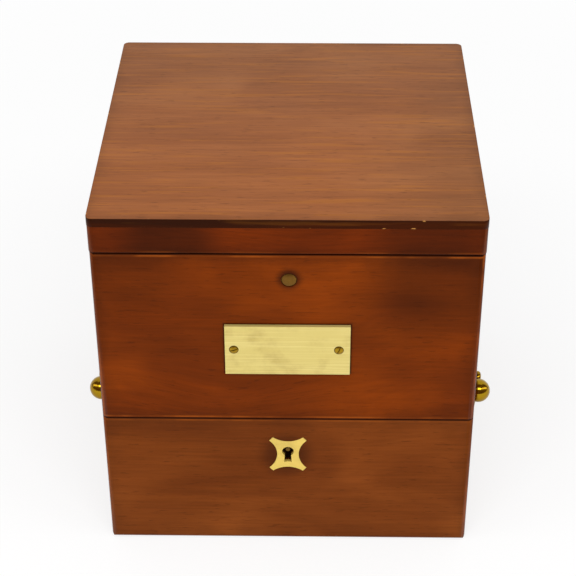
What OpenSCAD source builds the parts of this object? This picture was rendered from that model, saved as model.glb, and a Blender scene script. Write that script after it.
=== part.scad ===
/* [Box] */
// Width and depth of the box
box_w = 150; // [140:1:170]
// Thickness of the side boards
wall_t = 9; // [8.8:0.1:9.6]
// Height of the lower case
lower_h = 65; // [60:0.5:75]
// Height of the middle tier
middle_h = 79; // [70:1:95]
// Height of the lid with its top board
lid_h = 15.5; // [13:0.5:22]
// Thickness of the lid's top board
lid_board_t = 3.7; // [3:0.1:5]
// Thickness of the base board
base_t = 6; // [5:0.1:6.6]
// Width of the rebate that the base board sits in
base_rebate = 4; // [2:0.5:5]
// Radius of the upright corners
corner_r = 2.5; // [1:0.1:3]
// Rounding under the lower case
foot_r = 2; // [0.5:0.1:2.2]
// Rounding under the lid's edge
lid_edge_r = 0.8; // [0.4:0.1:1.2]
// How far the lid's top board stands proud of the case
lid_proud = 0.3; // [0.1:0.1:0.6]
// Gap between two tiers
seam = 0.3; // [0.2:0.05:0.4]

/* [Window] */
// Thickness of the window glass
glass_t = 2; // [1.5:0.1:3]
// Width of the ledge under the glass
glass_ledge = 3; // [2.5:0.1:3.3]
// Depth from the tier's top to the ledge
glass_drop = 6; // [5:0.1:7]
// Width of the beads that hold the glass
bead_w = 3.4; // [3:0.1:5]

/* [Plate and escutcheon] */
// Width of the plate on the front
plate_w = 49; // [44:0.1:60]
// Height of the plate
plate_h = 22.9; // [18:0.1:28]
// Thickness of the plate
plate_t = 1.5; // [1:0.1:2]
// Distance of the plate's centre below the middle tier's top
plate_drop = 43.85; // [41:0.05:50]
// Distance of the left plate screw from the middle
plate_screw_left = 21; // [19:0.1:22]
// Distance of the right plate screw from the middle
plate_screw_right = 20.1; // [18:0.1:22]
// Radius of the plate screw's head
plate_screw_r = 1.9; // [1.4:0.1:2.1]
// Width of the escutcheon
key_w = 15.2; // [12:0.1:18]
// Height of the escutcheon
key_h = 17.6; // [15:0.1:20]
// Distance of the escutcheon's centre below the lower case's top
key_plate_drop = 18.5; // [18:0.1:19.5]
// Thickness of the escutcheon
key_plate_t = 1.4; // [1:0.1:1.8]
// How far the escutcheon's sides curve in
key_side_bite = 3.2; // [2:0.1:3.6]
// How far the escutcheon's top and bottom curve in
key_end_bite = 2.1; // [1.5:0.1:2.6]
// Radius of the keyhole
keyhole_r = 2.4; // [2:0.1:2.6]
// Height of the keyhole's round part above the escutcheon's centre
keyhole_rise = 1.4; // [0.9:0.1:1.9]
// Length of the keyhole's slot below its centre
keyhole_drop = 5.6; // [4.5:0.1:6]
// Width of the keyhole's slot
keyhole_slot = 2.4; // [2:0.1:2.8]

/* [Lid catch] */
// Radius of the push button
button_r = 2.8; // [2.6:0.05:3.2]
// Distance of the push button below the middle tier's top
button_drop = 11.7; // [11.6:0.1:12.5]
// Offset of the push button to the right
button_x = 0.65; // [0:0.05:1]
// Thickness of the catch spring
catch_leaf_t = 0.7; // [0.5:0.1:0.8]
// Width of the catch spring
catch_leaf_w = 6; // [5:0.5:7]

/* [Lock] */
// Width of the lock
lock_w = 37; // [34:0.5:42]
// Height of the lock below the case's top edge
lock_h = 24.5; // [23:0.5:28]
// Travel of the bolt
bolt_travel = 5; // [4:0.1:5.4]
// Height of the bolt plate
bolt_h = 4.2; // [3.8:0.1:4.6]

/* [Handles] */
// Radius of the handle balls
ball_r = 5.1; // [4.6:0.1:5.6]
// Distance of a ball's centre from the case side
ball_out = 6.5; // [6:0.1:8]
// Distance of the handle pivots below the lower case's top
handle_drop = 19.5; // [15:0.5:23]
// Distance from one post to the other
handle_span = 60; // [54:1:70]
// Radius of the bail's rod
rod_r = 1.4; // [1.2:0.05:1.45]
// Drop from the pivots to the grip
grip_drop = 25.5; // [22:0.5:30]
// Lean of the hanging bail towards the case
bail_lean = 5; // [2:0.5:6]

/* [Gimbal] */
// Distance of the gimbal axes below the lower case's top
gimbal_drop = 5; // [4.6:0.1:5.4]
// Place of the ring's inner edge between the bowl, 0, and the case wall, 1
ring_share = 0.46; // [0.42:0.01:0.5]
// Thickness of the gimbal ring
ring_t = 4; // [3:0.1:4.4]
// Height of the gimbal ring
ring_h = 8; // [6:0.5:8.5]
// Radius of the gimbal pivots
pivot_r = 1.5; // [1.2:0.1:1.8]
// Radial play of pins and shafts in their holes
run_gap = 0.05; // [0.03:0.01:0.08]

/* [Bowl and movement] */
// Outer radius of the bowl
bowl_r = 42; // [38:0.5:43.5]
// Depth of the bowl below the gimbal axes
bowl_depth = 28; // [26:0.5:30]
// Height of the bowl's rim above the axes
bowl_rise = 10; // [9:0.1:11]
// Thickness of the bowl's bottom
bowl_floor_t = 4; // [3:0.1:4.4]
// Length of the minute hand as a share of the dial's radius
minute_share = 0.82; // [0.68:0.01:0.86]
// Length of the hour hand as a share of the dial's radius
hour_share = 0.55; // [0.45:0.01:0.6]

/* [Hidden] */
$fn = 48;

half = box_w / 2;
inner = half - wall_t;
seam1 = lower_h;
seam2 = lower_h + middle_h;
box_top = seam2 + lid_h;
lid_board_z = box_top - lid_board_t;
plate_z = seam2 - plate_drop;
key_plate_z = seam1 - key_plate_drop;
keyhole_z = key_plate_z + keyhole_rise;
button_z = seam2 - button_drop;
handle_z = seam1 - handle_drop;
gimbal_z = seam1 - gimbal_drop;
fit = 0.1;
over = 1;

// Small wood screw that all the brass fittings share
screw_head_r = 1.9;
screw_head_h = 1.1;
screw_r = 0.95;
screw_len = 7;
screw_slot_w = 0.5;
screw_slot_h = 0.45;
screw_edge = 0.3;
screw_point = 1.5;

// Slotted screws of the front plate
plate_screw_len = 6.5;
plate_shank_r = 0.9;
plate_screw_dome = 0.5;
plate_slot_w = 0.44;
plate_screw_rise = 0.4;

// Hinges
leaf_len = 24;
leaf_w = 5.2;
leaf_t = 1.2;
knuckle_r = 1.8;
hinge_pin_r = 0.9;
hinge_inset = 29;
hinge_x = half - hinge_inset;
hinge_screw_pitch = 8;
knuckle_gap = 0.15;
hinge_y = half + knuckle_r + fit;

// Catch: the hook hangs from the lid into a slot in the middle tier's front board
hook_y = -half + 4.2;
hook_t = 1.2;
hook_w = 7;
hook_plate_w = 22;
hook_plate_back = 4.4;
hook_plate_front = 2;
hook_barb = 1.1;
hook_barb_t = 0.6;
hook_screw_x = 8;
hook_tip_z = button_z + 1.7;
hook_barb_z = hook_tip_z + 1.8;
leaf_back_y = -inner - fit * 5;
leaf_front_y = leaf_back_y - catch_leaf_t;
leaf_drop = 20;
nose_gap = 0.2;
nose_h = 0.4;
leaf_foot_z = button_z - leaf_drop;
catch_screw_z = leaf_foot_z + 3;
button_skin = 1.5;
button_flange_r = button_r + 0.65;
button_stem_r = 1.2;
button_dome = 0.45;
button_out = 0.25;
button_flange_t = 0.7;

// Lock: a box lock let into the lower case's front board from the inside
lock_depth = 6.5;
key_tip_w = 1.5;
key_tip_h = 1.7;
lock_plate_t = 1.2;
lock_shell_t = 0.9;
lock_top = seam1 - seam / 2;
lock_bottom = lock_top - lock_h;
lock_front_y = -inner - lock_depth + fit;
lock_back_y = -inner - lock_plate_t;
lock_flange = 4.6;
drill_pin_r = 0.9;
bolt_z = keyhole_z + 4.4;
bolt_t = 1.4;
staple_t = 2;
staple_leg = 0.8;
bolt_side = 0.15;
bolt_y = lock_back_y - 0.5 - staple_leg - bolt_side - bolt_t / 2;
bolt_lift = 2.4;
bolt_x0 = -lock_w / 2 + lock_plate_t + 2.5;
bolt_x1 = lock_w / 2 - lock_plate_t - bolt_travel - 3.3;
bolt_arm_x = bolt_x0 + 2;
bolt_arm_w = 4;
key_notch_w = 3.2;
key_notch_h = 1.5;
prong_h = 3.7;
prong_tip_x = -staple_t;
guide_r = 0.8;
guide_gap = 0.15;
guide_x = [bolt_arm_x + 0.8, bolt_x1 - 3];
staple_plate_half = 14;
staple_screw_x = 9;

// Handles
post_flange_r = 6.4;
post_flange_t = 1.4;
post_neck_r = 2.8;
stud_r = 2;
stud_end = 0.8;
nut_r = 3.8;
nut_t = 2.4;
ball_face = ball_r - 0.9;
bail_gap = 0.2;
trunnion_len = 2.6;
hump_r = rod_r + run_gap;
grip_bend_r = 6;
grip_swell = 0.9;
handle_x = half + ball_out;

// Gimbal
ring_r = bowl_r + ring_share * (inner - bowl_r);
ring_out = ring_r + ring_t;
ring_bevel = 0.5;
bracket_t = 1.6;
bracket_h = 14.5;
bracket_w = 18;
bracket_drop = 10;
boss_r = 4.2;
boss_gap = 1.2;
bracket_screw_y = 6.4;
pivot_head_r = 3;
pivot_head_t = 1.4;
pivot_slot_w = 0.6;
pivot_thread_r = 1.25;
pivot_thread_len = 5;
stud_body_r = 2.4;
trunnion_boss_r = 4;
trunnion_out = 6;
lock_post_off = 13;
post_x = inner - lock_post_off;
post_foot_r = 7.5;
post_r = 3.5;
post_spigot_r = 2.4;
post_foot_t = 2;
post_cap_t = 2;
post_screw_at = 5.3;
post_shoulder_z = gimbal_z - 10;
post_distance = post_x * sqrt(2);
jaw_reach = post_distance - ring_r - 1.4;
jaw_slot_start = post_distance - ring_out - 3;
jaw_w = 6;
jaw_gap = 0.3;
jaw_t = 4.5;
lever_hub_r = 5;
lever_tab = 9.5;
lever_tab_t = 3;
lever_top = gimbal_z + ring_h / 2 + jaw_gap + jaw_t;

// Bowl, heights from the gimbal axes
bowl_wall = 2;
bowl_corner_r = 6;
seat_z = 2;
rim_in_r = bowl_r - bowl_wall;
seat_r = rim_in_r - 2;
dial_r = rim_in_r - 2;
plate_thick = 2;
pillar_plate_top = seat_z + plate_thick;
dial_t = 0.8;
dial_z = pillar_plate_top + 2.6;
dial_top = dial_z + dial_t;
bezel_lip_in = 0.8;
bezel_lip_r = dial_r - bezel_lip_in;
crystal_hold = 0.4;
crystal_r = dial_r + crystal_hold;
crystal_t = 1.6;
crystal_rise = 2;
crystal_z = bowl_rise + crystal_rise;
bezel_rise = 5;
bezel_top = bowl_rise + bezel_rise;
bezel_out_r = bowl_r + 1.2;
bezel_skirt_h = 1.8;
bezel_edge_h = 2.2;
bezel_slope = 1.6;
bezel_lip_w = 1;
bezel_lip_h = 0.9;
bezel_seat = 0.8;
bezel_seat_w = 0.6;
dial_foot_r = 0.8;
dial_foot_inset = 5;
dial_foot_at = dial_r - dial_foot_inset;
dial_hole_r = 2.1;
seconds_hole_r = 0.9;
winding_hole_r = 4;

// The movement is drawn for a bowl radius of 42 and follows the bowl
scaled = bowl_r / 42;
back_plate_top = -9;
back_plate_bottom = back_plate_top - plate_thick;
back_plate_r = 31 * scaled;
pillar_r = 1.8;
pillar_at = 28.5 * scaled;
pillar_angles = [60, -10, 300, 175];
hole_gap = 0.08;
glue_gap = 0.02;
tap_r = 0.85;
through = 20;

// Wheels: teeth, leaves and module of each pair
barrel_teeth = 96;
centre_leaves = 12;
barrel_m = 0.28 * scaled;
centre_teeth = 64;
third_leaves = 8;
centre_m = 0.3 * scaled;
third_teeth = 60;
fourth_leaves = 8;
third_m = 0.28 * scaled;
fourth_teeth = 70;
escape_leaves = 7;
fourth_m = 0.22 * scaled;
cannon_leaves = 12;
minute_teeth = 36;
cannon_m = 0.2 * scaled;
minute_leaves = 10;
hour_teeth = 40;
escape_teeth = 15;
escape_r = 4.5 * scaled;
ratchet_teeth = 30;
ratchet_m = 0.5 * scaled;
ratchet_t = 1;
ratchet_gap = 0.2;

// Directions from one wheel to the next
barrel_direction = 135;
escape_direction = 200;
minute_direction = 30;
click_direction = 60;
wheel_addendum = 1.05;

function arc_radius(half_chord, rise) = (half_chord * half_chord + rise * rise) / (2 * rise);
function polar(r, a) = [r * cos(a), r * sin(a)];
function distance(n, p, m) = (n + p) * m / 2;
function heading(a, b) = atan2(b[1] - a[1], b[0] - a[0]);

barrel_at = polar(distance(barrel_teeth, centre_leaves, barrel_m), barrel_direction);
centre_at = [0, 0];
seconds_drop = 18 * scaled;
seconds_at = [0, -seconds_drop];
third_reach = distance(centre_teeth, third_leaves, centre_m);
fourth_reach = distance(third_teeth, fourth_leaves, third_m);
third_y = -(third_reach * third_reach - fourth_reach * fourth_reach
  + seconds_drop * seconds_drop) / (2 * seconds_drop);
third_at = [sqrt(third_reach * third_reach - third_y * third_y), third_y];
escape_at = seconds_at
  + polar(distance(fourth_teeth, escape_leaves, fourth_m), escape_direction);
balance_at = [-22 * scaled, -11.5 * scaled];
balance_heading = heading(escape_at, balance_at);
lever_reach = 5.6 * scaled;
lever_at = escape_at + polar(lever_reach, balance_heading);
cock_heading = heading(balance_at, centre_at);
cock_reach = 14 * scaled;
cock_foot_at = balance_at + polar(cock_reach, cock_heading);
minute_reach = distance(cannon_leaves, minute_teeth, cannon_m);
minute_at = polar(minute_reach, minute_direction);
hour_m = 2 * minute_reach / (minute_leaves + hour_teeth);
click_reach = 10.5 * scaled;
click_at = barrel_at + polar(click_reach, click_direction);
balance_r = 8.5 * scaled;
balance_cut_r = balance_r + 1.5;

// Levels of the wheels from the gimbal axes
arbor_bottom = back_plate_bottom;
arbor_top = pillar_plate_top - 0.2;
arbor_r = 0.45;
fine_arbor_r = 0.4;
barrel_arbor_r = 1.5;
barrel_hole_r = 1.6;
staff_r = 0.5;
staff_pivot_r = 0.3;
click_stud_r = 0.6;
square_w = 2.2;
shutter_reach = 9;
shutter_t = 1.1;
shutter_drop = 0.1;
shutter_pin_r = 0.8;
barrel_bottom = -8.4;
barrel_h = 7.8;
barrel_teeth_z = -7.4;
barrel_drum_r = barrel_teeth * barrel_m / 2 - 0.55;
barrel_skin = 0.8;
centre_wheel_z = 0.3;
third_wheel_z = -3.3;
fourth_wheel_z = -6.3;
escape_wheel_z = -3.4;
wheel_t = 0.7;
balance_z = -8.6;
balance_h = 1.2;
roller_z = -4.7;
spring_z = -10.9;
spring_r = 6.6 * scaled;
spring_t = 0.18;
spring_h = 0.5;
spring_stud_r = 0.4;
cock_z = -15;
cock_t = 1.6;
cock_boss_r = 3;
cock_side = 2.4;
cock_foot_r = 3.6;
pallet_t = 0.5;
pallet_turn = 30;
pallet_w = 0.4;
pallet_gap = 0.12;
pallet_arm_turn = pallet_turn - 2 / scaled;
pallet_hub_r = 0.9;
fork_side = 0.4;
fork_slot_side = 0.22;
minute_wheel_z = pillar_plate_top + 0.3;
hour_wheel_z = pillar_plate_top + 1.3;
motion_t = 0.5;
seconds_hand_z = dial_top + 0.5;
hour_hand_z = dial_top + 1.3;
minute_hand_z = dial_top + 2.4;
hand_t = 0.4;
square_bottom = -18;
minute_len = minute_share * dial_r;
hour_len = hour_share * dial_r;
seconds_len = 8.5 * scaled;
centre_arbor_r = 0.6;
cannon_pipe_r = 0.88;
hour_pipe_r = 1.6;

// Angles of the hands, clockwise from twelve
minute_angle = 48;
hour_angle = 304;
seconds_angle = 210;

// Building blocks

module block(x0, x1, y0, y1, z0, z1) {
  translate([x0, y0, z0]) cube([x1 - x0, y1 - y0, z1 - z0]);
}

module rod_x(r, x0, x1) {
  translate([x0, 0, 0]) rotate([0, 90, 0]) cylinder(r = r, h = x1 - x0);
}

module rod_y(r, y0, y1) {
  translate([0, y0, 0]) rotate([-90, 0, 0]) cylinder(r = r, h = y1 - y0);
}

module rod_z(r, z0, z1) {
  translate([0, 0, z0]) cylinder(r = r, h = z1 - z0);
}

// A flat shape drawn in x and z, thick from y0 to y1
module slab_y(y0, y1) {
  translate([0, y1, 0]) rotate([90, 0, 0]) linear_extrude(y1 - y0) children();
}

// A flat shape drawn in y and z, thick from x0 to x1
module slab_x(x0, x1) {
  translate([x0, 0, 0]) rotate([90, 0, 90]) linear_extrude(x1 - x0) children();
}

module both_sides() {
  children();
  mirror([1, 0, 0]) children();
}

module rounded_square(w, d, r) {
  square([w - 2 * r, d], center = true);
  square([w, d - 2 * r], center = true);
  for (x = [-1, 1], y = [-1, 1])
    translate([x * (w / 2 - r), y * (d / 2 - r)]) circle(r);
}

// Quarter round cut along a lower edge that faces the front
module edge_round(r, length, y, z) {
  translate([0, y, z]) difference() {
    block(-length, length, -over, r, -over, r);
    translate([0, r, r]) rod_x(r, -length - over, length + over);
  }
}

// One of four mitred boards, side 0 at the front
module mitre(side, reach, z0, z1) {
  rotate(side * 90) translate([0, -glue_gap, z0]) linear_extrude(z1 - z0)
    polygon([[0, 0], [-reach, -reach], [reach, -reach]]);
}

// Screws stand head up with the head's top at the origin

module screw_body(grow) {
  rotate_extrude() polygon([
    [0, 0], [screw_head_r + grow, 0], [screw_head_r + grow, -screw_edge],
    [screw_r + grow, -screw_head_h - grow], [screw_r + grow, -screw_len + screw_point],
    [0, -screw_len - grow]]);
}

module wood_screw(turn) {
  difference() {
    screw_body(0);
    rotate(turn) block(-screw_head_r - over, screw_head_r + over, -screw_slot_w / 2,
      screw_slot_w / 2, -screw_slot_h, over);
  }
}

module screw_hole() {
  screw_body(fit / 2);
  rod_z(screw_head_r + fit / 2, -0.01, over);
}

// Hinges: a leaf lies in each board's edge, the knuckles stand behind the case

module hinge_places() {
  for (x = [-hinge_x, hinge_x]) translate([x, 0, 0]) children();
}

module hinge_screw_places() {
  for (i = [-1, 0, 1])
    translate([i * hinge_screw_pitch, half - leaf_w / 2 - 0.1, 0]) children();
}

module knuckles(upper) {
  third = leaf_len / 3;
  spans = upper ? [[-third / 2 + knuckle_gap / 2, third / 2 - knuckle_gap / 2]]
    : [[-leaf_len / 2, -third / 2 - knuckle_gap / 2], [third / 2 + knuckle_gap / 2, leaf_len / 2]];
  side = upper ? 1 : -1;
  for (s = spans) {
    translate([0, hinge_y, 0]) rod_x(knuckle_r, s[0], s[1]);
    near = side * seam / 2;
    far = near + side * leaf_t;
    block(s[0], s[1], half - over, hinge_y, min(near, far), max(near, far));
  }
}

module hinge_leaf(upper) {
  side = upper ? 1 : -1;
  near = side * seam / 2;
  far = near + side * leaf_t;
  difference() {
    union() {
      block(-leaf_len / 2, leaf_len / 2, half - leaf_w, half, min(near, far), max(near, far));
      knuckles(upper);
    }
    translate([0, hinge_y, 0]) rod_x(hinge_pin_r + run_gap, -leaf_len, leaf_len);
    hinge_screw_places() translate([0, 0, near]) mirror([0, 0, upper ? 1 : 0]) screw_hole();
  }
}

module hinge_pins(z) {
  hinge_places() translate([0, hinge_y, z])
    rod_x(hinge_pin_r, -leaf_len / 2, leaf_len / 2);
}

module hinge_mortise(upper) {
  side = upper ? 1 : -1;
  near = -side * over;
  far = side * (seam / 2 + leaf_t + fit / 2);
  hinge_places() {
    block(-leaf_len / 2 - fit, leaf_len / 2 + fit, half - leaf_w - fit, half + over,
      min(near, far), max(near, far));
    hinge_screw_places() translate([0, 0, side * seam / 2]) mirror([0, 0, upper ? 1 : 0])
      screw_body(fit / 2);
  }
}

module hinge_screws(upper) {
  side = upper ? 1 : -1;
  hinge_places() hinge_screw_places() translate([0, 0, side * seam / 2])
    mirror([0, 0, upper ? 1 : 0]) wood_screw(25);
}

// Lower case

module keyhole(grow) {
  translate([0, keyhole_z]) circle(keyhole_r + grow);
  bottom = keyhole_z - keyhole_drop - grow;
  neck = keyhole_slot / 2 + grow;
  flare = neck + 0.35;
  polygon([[-neck, keyhole_z], [-flare, bottom], [0, bottom + 0.4], [flare, bottom],
    [neck, keyhole_z]]);
}

module escutcheon_outline(grow) {
  w = key_w / 2 + grow;
  h = key_h / 2 + grow;
  side_r = arc_radius(h - key_tip_h, key_side_bite);
  end_r = arc_radius(w - key_tip_w, key_end_bite);
  translate([0, key_plate_z]) difference() {
    polygon([[-w, key_tip_h - h], [key_tip_w - w, -h], [w - key_tip_w, -h], [w, key_tip_h - h],
      [w, h - key_tip_h], [w - key_tip_w, h], [key_tip_w - w, h], [-w, h - key_tip_h]]);
    for (s = [-1, 1]) {
      translate([s * (w + side_r - key_side_bite), 0]) circle(side_r, $fn = 96);
      translate([0, s * (h + end_r - key_end_bite)]) circle(end_r, $fn = 96);
    }
  }
}

module key_escutcheon() {
  color([0.88, 0.82, 0.6])
    slab_y(-half, -half + key_plate_t) difference() {
      escutcheon_outline(0);
      keyhole(0);
    }
}

module lock_screw_places() {
  for (x = [-1, 1], z = [lock_bottom + 2.6, lock_top - 8])
    translate([x * (lock_w / 2 + lock_flange / 2), -inner, z]) rotate([-90, 0, 0]) children();
}

module bracket_screw_places() {
  for (y = [-1, 1])
    translate([inner - bracket_t, y * bracket_screw_y, gimbal_z]) rotate([0, -90, 0]) children();
}

module post_screw_places() {
  for (a = [45, 165, 285])
    translate([post_x, -post_x, base_t + post_foot_t]) rotate(a)
      translate([post_screw_at, 0, 0]) children();
}

module lower_cuts(side) {
  if (side == 0) {
    slab_y(-half - over, -half + key_plate_t + fit / 2) escutcheon_outline(fit);
    slab_y(-half, -inner) keyhole(0.1);
    block(-lock_w / 2 - fit, lock_w / 2 + fit, lock_front_y - fit, -inner + over,
      lock_bottom - fit, lock_top + over);
    block(-lock_w / 2 - lock_flange - fit, lock_w / 2 + lock_flange + fit,
      lock_back_y - fit / 2, -inner + over, lock_bottom - fit, lock_top + over);
    block(-lock_w / 2 - lock_flange - fit, lock_w / 2 + lock_flange + fit,
      lock_front_y - fit, -inner + over, lock_top - lock_plate_t - fit / 2, lock_top + over);
    lock_screw_places() screw_body(fit / 2);
  }
  if (side == 2) translate([0, 0, seam1]) hinge_mortise(false);
  if (side == 1 || side == 3) mirror([side == 3 ? 1 : 0, 0, 0]) {
    for (y = [-1, 1]) translate([0, y * handle_span / 2, handle_z])
      rod_x(stud_r + fit, inner - over, half + over);
    bracket_screw_places() screw_body(fit / 2);
  }
}

module lower_carcass() {
  color([0.5, 0.2, 0.08])
    for (side = [0:3]) difference() {
      intersection() {
        linear_extrude(seam1 - seam / 2) rounded_square(box_w, box_w, corner_r);
        mitre(side, box_w, 0, seam1);
      }
      block(-inner, inner, -inner, inner, -over, box_top);
      block(-inner - base_rebate, inner + base_rebate, -inner - base_rebate,
        inner + base_rebate, -over, base_t + fit / 2);
      for (turn = [0:3]) rotate(turn * 90) edge_round(foot_r, half, -half, 0);
      lower_cuts(side);
    }
}

module base_board() {
  w = inner + base_rebate - fit;
  color([0.45, 0.22, 0.1]) difference() {
    block(-w, w, -w, w, 0, base_t);
    post_screw_places() screw_body(fit / 2);
  }
}

module lock_case() {
  slot_y0 = bolt_y - bolt_t / 2 - staple_leg - 0.75;
  color("goldenrod") {
    difference() {
      union() {
        block(-lock_w / 2, lock_w / 2, lock_front_y, lock_back_y + 0.1, lock_bottom,
          lock_top - 0.1);
        block(-lock_w / 2 - lock_flange, lock_w / 2 + lock_flange, lock_back_y, -inner,
          lock_bottom, lock_top);
        block(-lock_w / 2 - lock_flange, lock_w / 2 + lock_flange, lock_front_y, -inner,
          lock_top - lock_plate_t, lock_top);
      }
      block(-lock_w / 2 + lock_plate_t, lock_w / 2 - lock_plate_t, lock_front_y + lock_shell_t,
        lock_back_y, lock_bottom + lock_plate_t, lock_top - lock_plate_t);
      block(-staple_t / 2 - 0.4, staple_t / 2 + 0.4, slot_y0, lock_back_y,
        lock_top - 2 * lock_plate_t, lock_top + over);
      slab_y(lock_front_y - over, lock_front_y + 2 * lock_shell_t) keyhole(0);
      lock_screw_places() screw_hole();
    }
    translate([0, 0, keyhole_z]) rod_y(drill_pin_r, -half + key_plate_t, lock_back_y + 0.1);
    for (x = guide_x) translate([x, 0, bolt_z + bolt_h / 2])
      rod_y(guide_r, lock_front_y + lock_shell_t - 0.1, lock_back_y + 0.1);
  }
}

module lock_bolt() {
  y0 = bolt_y - bolt_t / 2;
  y1 = bolt_y + bolt_t / 2;
  prong_z = bolt_z + bolt_h + bolt_lift;
  slot_r = guide_r + guide_gap;
  color("gold") difference() {
    slab_y(y0, y1) {
      translate([bolt_x0, bolt_z]) square([bolt_x1 - bolt_x0, bolt_h]);
      translate([bolt_arm_x, bolt_z]) square([bolt_arm_w, bolt_h + bolt_lift + prong_h]);
      translate([bolt_arm_x, prong_z]) square([prong_tip_x - bolt_arm_x, prong_h]);
    }
    slab_y(y0 - over, y1 + over) {
      translate([-key_notch_w / 2, bolt_z - over]) square([key_notch_w, over + key_notch_h]);
      for (x = guide_x, end = [0, 1])
        translate([x - end * bolt_travel, bolt_z + bolt_h / 2]) circle(slot_r);
      for (x = guide_x)
        translate([x - bolt_travel, bolt_z + bolt_h / 2 - slot_r])
          square([bolt_travel, 2 * slot_r]);
    }
  }
}

module lower_case_screws() {
  color("darkgoldenrod") {
    translate([0, 0, seam1]) hinge_screws(false);
    lock_screw_places() wood_screw(40);
    both_sides() bracket_screw_places() wood_screw(70);
    post_screw_places() wood_screw(15);
  }
}

// Handles: ball-headed posts with a bail between them

module post_places() {
  for (y = [-1, 1]) translate([0, y * handle_span / 2, handle_z]) mirror([0, y > 0 ? 1 : 0, 0])
    children();
}

module handle_posts() {
  color("gold") both_sides() post_places() difference() {
    union() {
      rod_x(stud_r, inner - nut_t - stud_end, half + post_flange_t / 2);
      rod_x(post_flange_r, half, half + post_flange_t);
      rod_x(post_neck_r, half, handle_x);
      translate([handle_x, 0, 0]) sphere(ball_r);
    }
    translate([handle_x, 0, 0])
      rod_y(pivot_r + run_gap, ball_face - trunnion_len - bail_gap, ball_r + over);
    block(handle_x - ball_r - over, handle_x + ball_r + over, ball_face, ball_r + over,
      -ball_r, ball_r);
  }
}

module handle_nuts() {
  color("darkgoldenrod") both_sides() post_places() difference() {
    translate([inner - nut_t, 0, 0]) rotate([0, 90, 0]) cylinder(r = nut_r, h = nut_t, $fn = 6);
    rod_x(stud_r + fit / 2, inner - nut_t - over, inner + over);
  }
}

// Part of a round rod bent in the y-z plane, turning from angle a0 to a1 about a centre
module bend(centre, r, a0, a1) {
  translate([0, centre[0], centre[1]]) rotate([90, 0, 90]) rotate([0, 0, a0])
    rotate_extrude(angle = a1 - a0) translate([r, 0]) circle(rod_r, $fn = 32);
}

module half_bail() {
  start = -handle_span / 2 + ball_face + bail_gap;
  leg_y = start + 3 * hump_r;
  bottom = -grip_drop + grip_bend_r;
  rod_y(pivot_r, start - trunnion_len, start);
  bend([start, hump_r], hump_r, -90, 0);
  bend([start + 2 * hump_r, hump_r], hump_r, 0, 180);
  translate([0, leg_y, 0]) rod_z(rod_r, bottom, hump_r);
  bend([leg_y + grip_bend_r, bottom], grip_bend_r, 180, 270);
  translate([0, 0, -grip_drop]) rod_y(rod_r, leg_y + grip_bend_r, 0);
  grip_half = -leg_y - grip_bend_r;
  belly_r = arc_radius(grip_half, grip_swell);
  translate([0, 0, -grip_drop]) rotate([-90, 0, 0]) rotate_extrude() intersection() {
    translate([0, -grip_half]) square([rod_r + grip_swell, grip_half]);
    translate([rod_r + grip_swell - belly_r, 0]) circle(belly_r, $fn = 256);
  }
}

module right_handle_bail() {
  color("gold") translate([handle_x, 0, handle_z]) rotate([0, bail_lean, 0]) {
    half_bail();
    mirror([0, 1, 0]) half_bail();
  }
}

module left_handle_bail() {
  mirror([1, 0, 0]) right_handle_bail();
}

// Gimbal fittings on the lower case

module gimbal_brackets() {
  color("gold") both_sides() difference() {
    union() {
      block(inner - bracket_t, inner, -bracket_w / 2, bracket_w / 2,
        gimbal_z - bracket_drop, gimbal_z - bracket_drop + bracket_h);
      translate([0, 0, gimbal_z]) rod_x(boss_r, ring_out + boss_gap, inner - bracket_t + 0.1);
    }
    translate([0, 0, gimbal_z]) rod_x(pivot_thread_r + run_gap, ring_out, ring_out + boss_gap
      + pivot_thread_len + 0.2);
    bracket_screw_places() screw_hole();
  }
}

module outer_pivot_screws() {
  head_x = ring_r + 0.2;
  color("silver") both_sides() translate([0, 0, gimbal_z]) difference() {
    union() {
      rod_x(pivot_head_r, head_x, head_x + pivot_head_t);
      rod_x(pivot_r, head_x, ring_out + boss_gap);
      rod_x(pivot_thread_r, head_x, ring_out + boss_gap + pivot_thread_len);
    }
    block(head_x - over, head_x + pivot_slot_w, -pivot_head_r - over, pivot_head_r + over,
      -pivot_slot_w / 2, pivot_slot_w / 2);
  }
}

module gimbal_lock_post() {
  color("gold") translate([post_x, -post_x, 0]) difference() {
    union() {
      rod_z(post_foot_r, base_t, base_t + post_foot_t);
      rod_z(post_r, base_t, post_shoulder_z);
      rod_z(post_r + 0.8, post_shoulder_z - 3, post_shoulder_z);
      rod_z(post_spigot_r, post_shoulder_z, lever_top + post_cap_t);
      rod_z(post_r, lever_top + fit, lever_top + post_cap_t);
    }
    translate([-post_x, post_x, 0]) post_screw_places() screw_hole();
  }
}

module gimbal_lock_lever() {
  jaw_z = ring_h / 2 + jaw_gap;
  color("gold") translate([post_x, -post_x, gimbal_z]) difference() {
    union() {
      rod_z(lever_hub_r, post_shoulder_z - gimbal_z + 0.1, jaw_z + jaw_t);
      block(-jaw_w / 2, jaw_w / 2, 0, jaw_reach, -jaw_z - jaw_t, jaw_z + jaw_t);
      block(-jaw_w / 2, jaw_w / 2, -lever_tab, 0, jaw_z + jaw_t - lever_tab_t, jaw_z + jaw_t);
    }
    rod_z(post_spigot_r + run_gap, -through, through);
    block(-jaw_w, jaw_w, jaw_slot_start, jaw_reach + over, -jaw_z, jaw_z);
  }
}

// Middle tier

module plate_screw_places() {
  for (s = [[-plate_screw_left, 20], [plate_screw_right, 65]])
    translate([s[0], -half - plate_t, plate_z + plate_screw_rise]) rotate([90, 0, 0])
      rotate(s[1]) children();
}

module staple_screw_places() {
  for (x = [-1, 1]) translate([x * staple_screw_x, -inner - 3.2, seam1 + seam / 2]) 
    mirror([0, 0, 1]) children();
}

module catch_screw_place() {
  translate([0, leaf_back_y + 0.45, catch_screw_z]) rotate([-90, 0, 0]) children();
}

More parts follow.
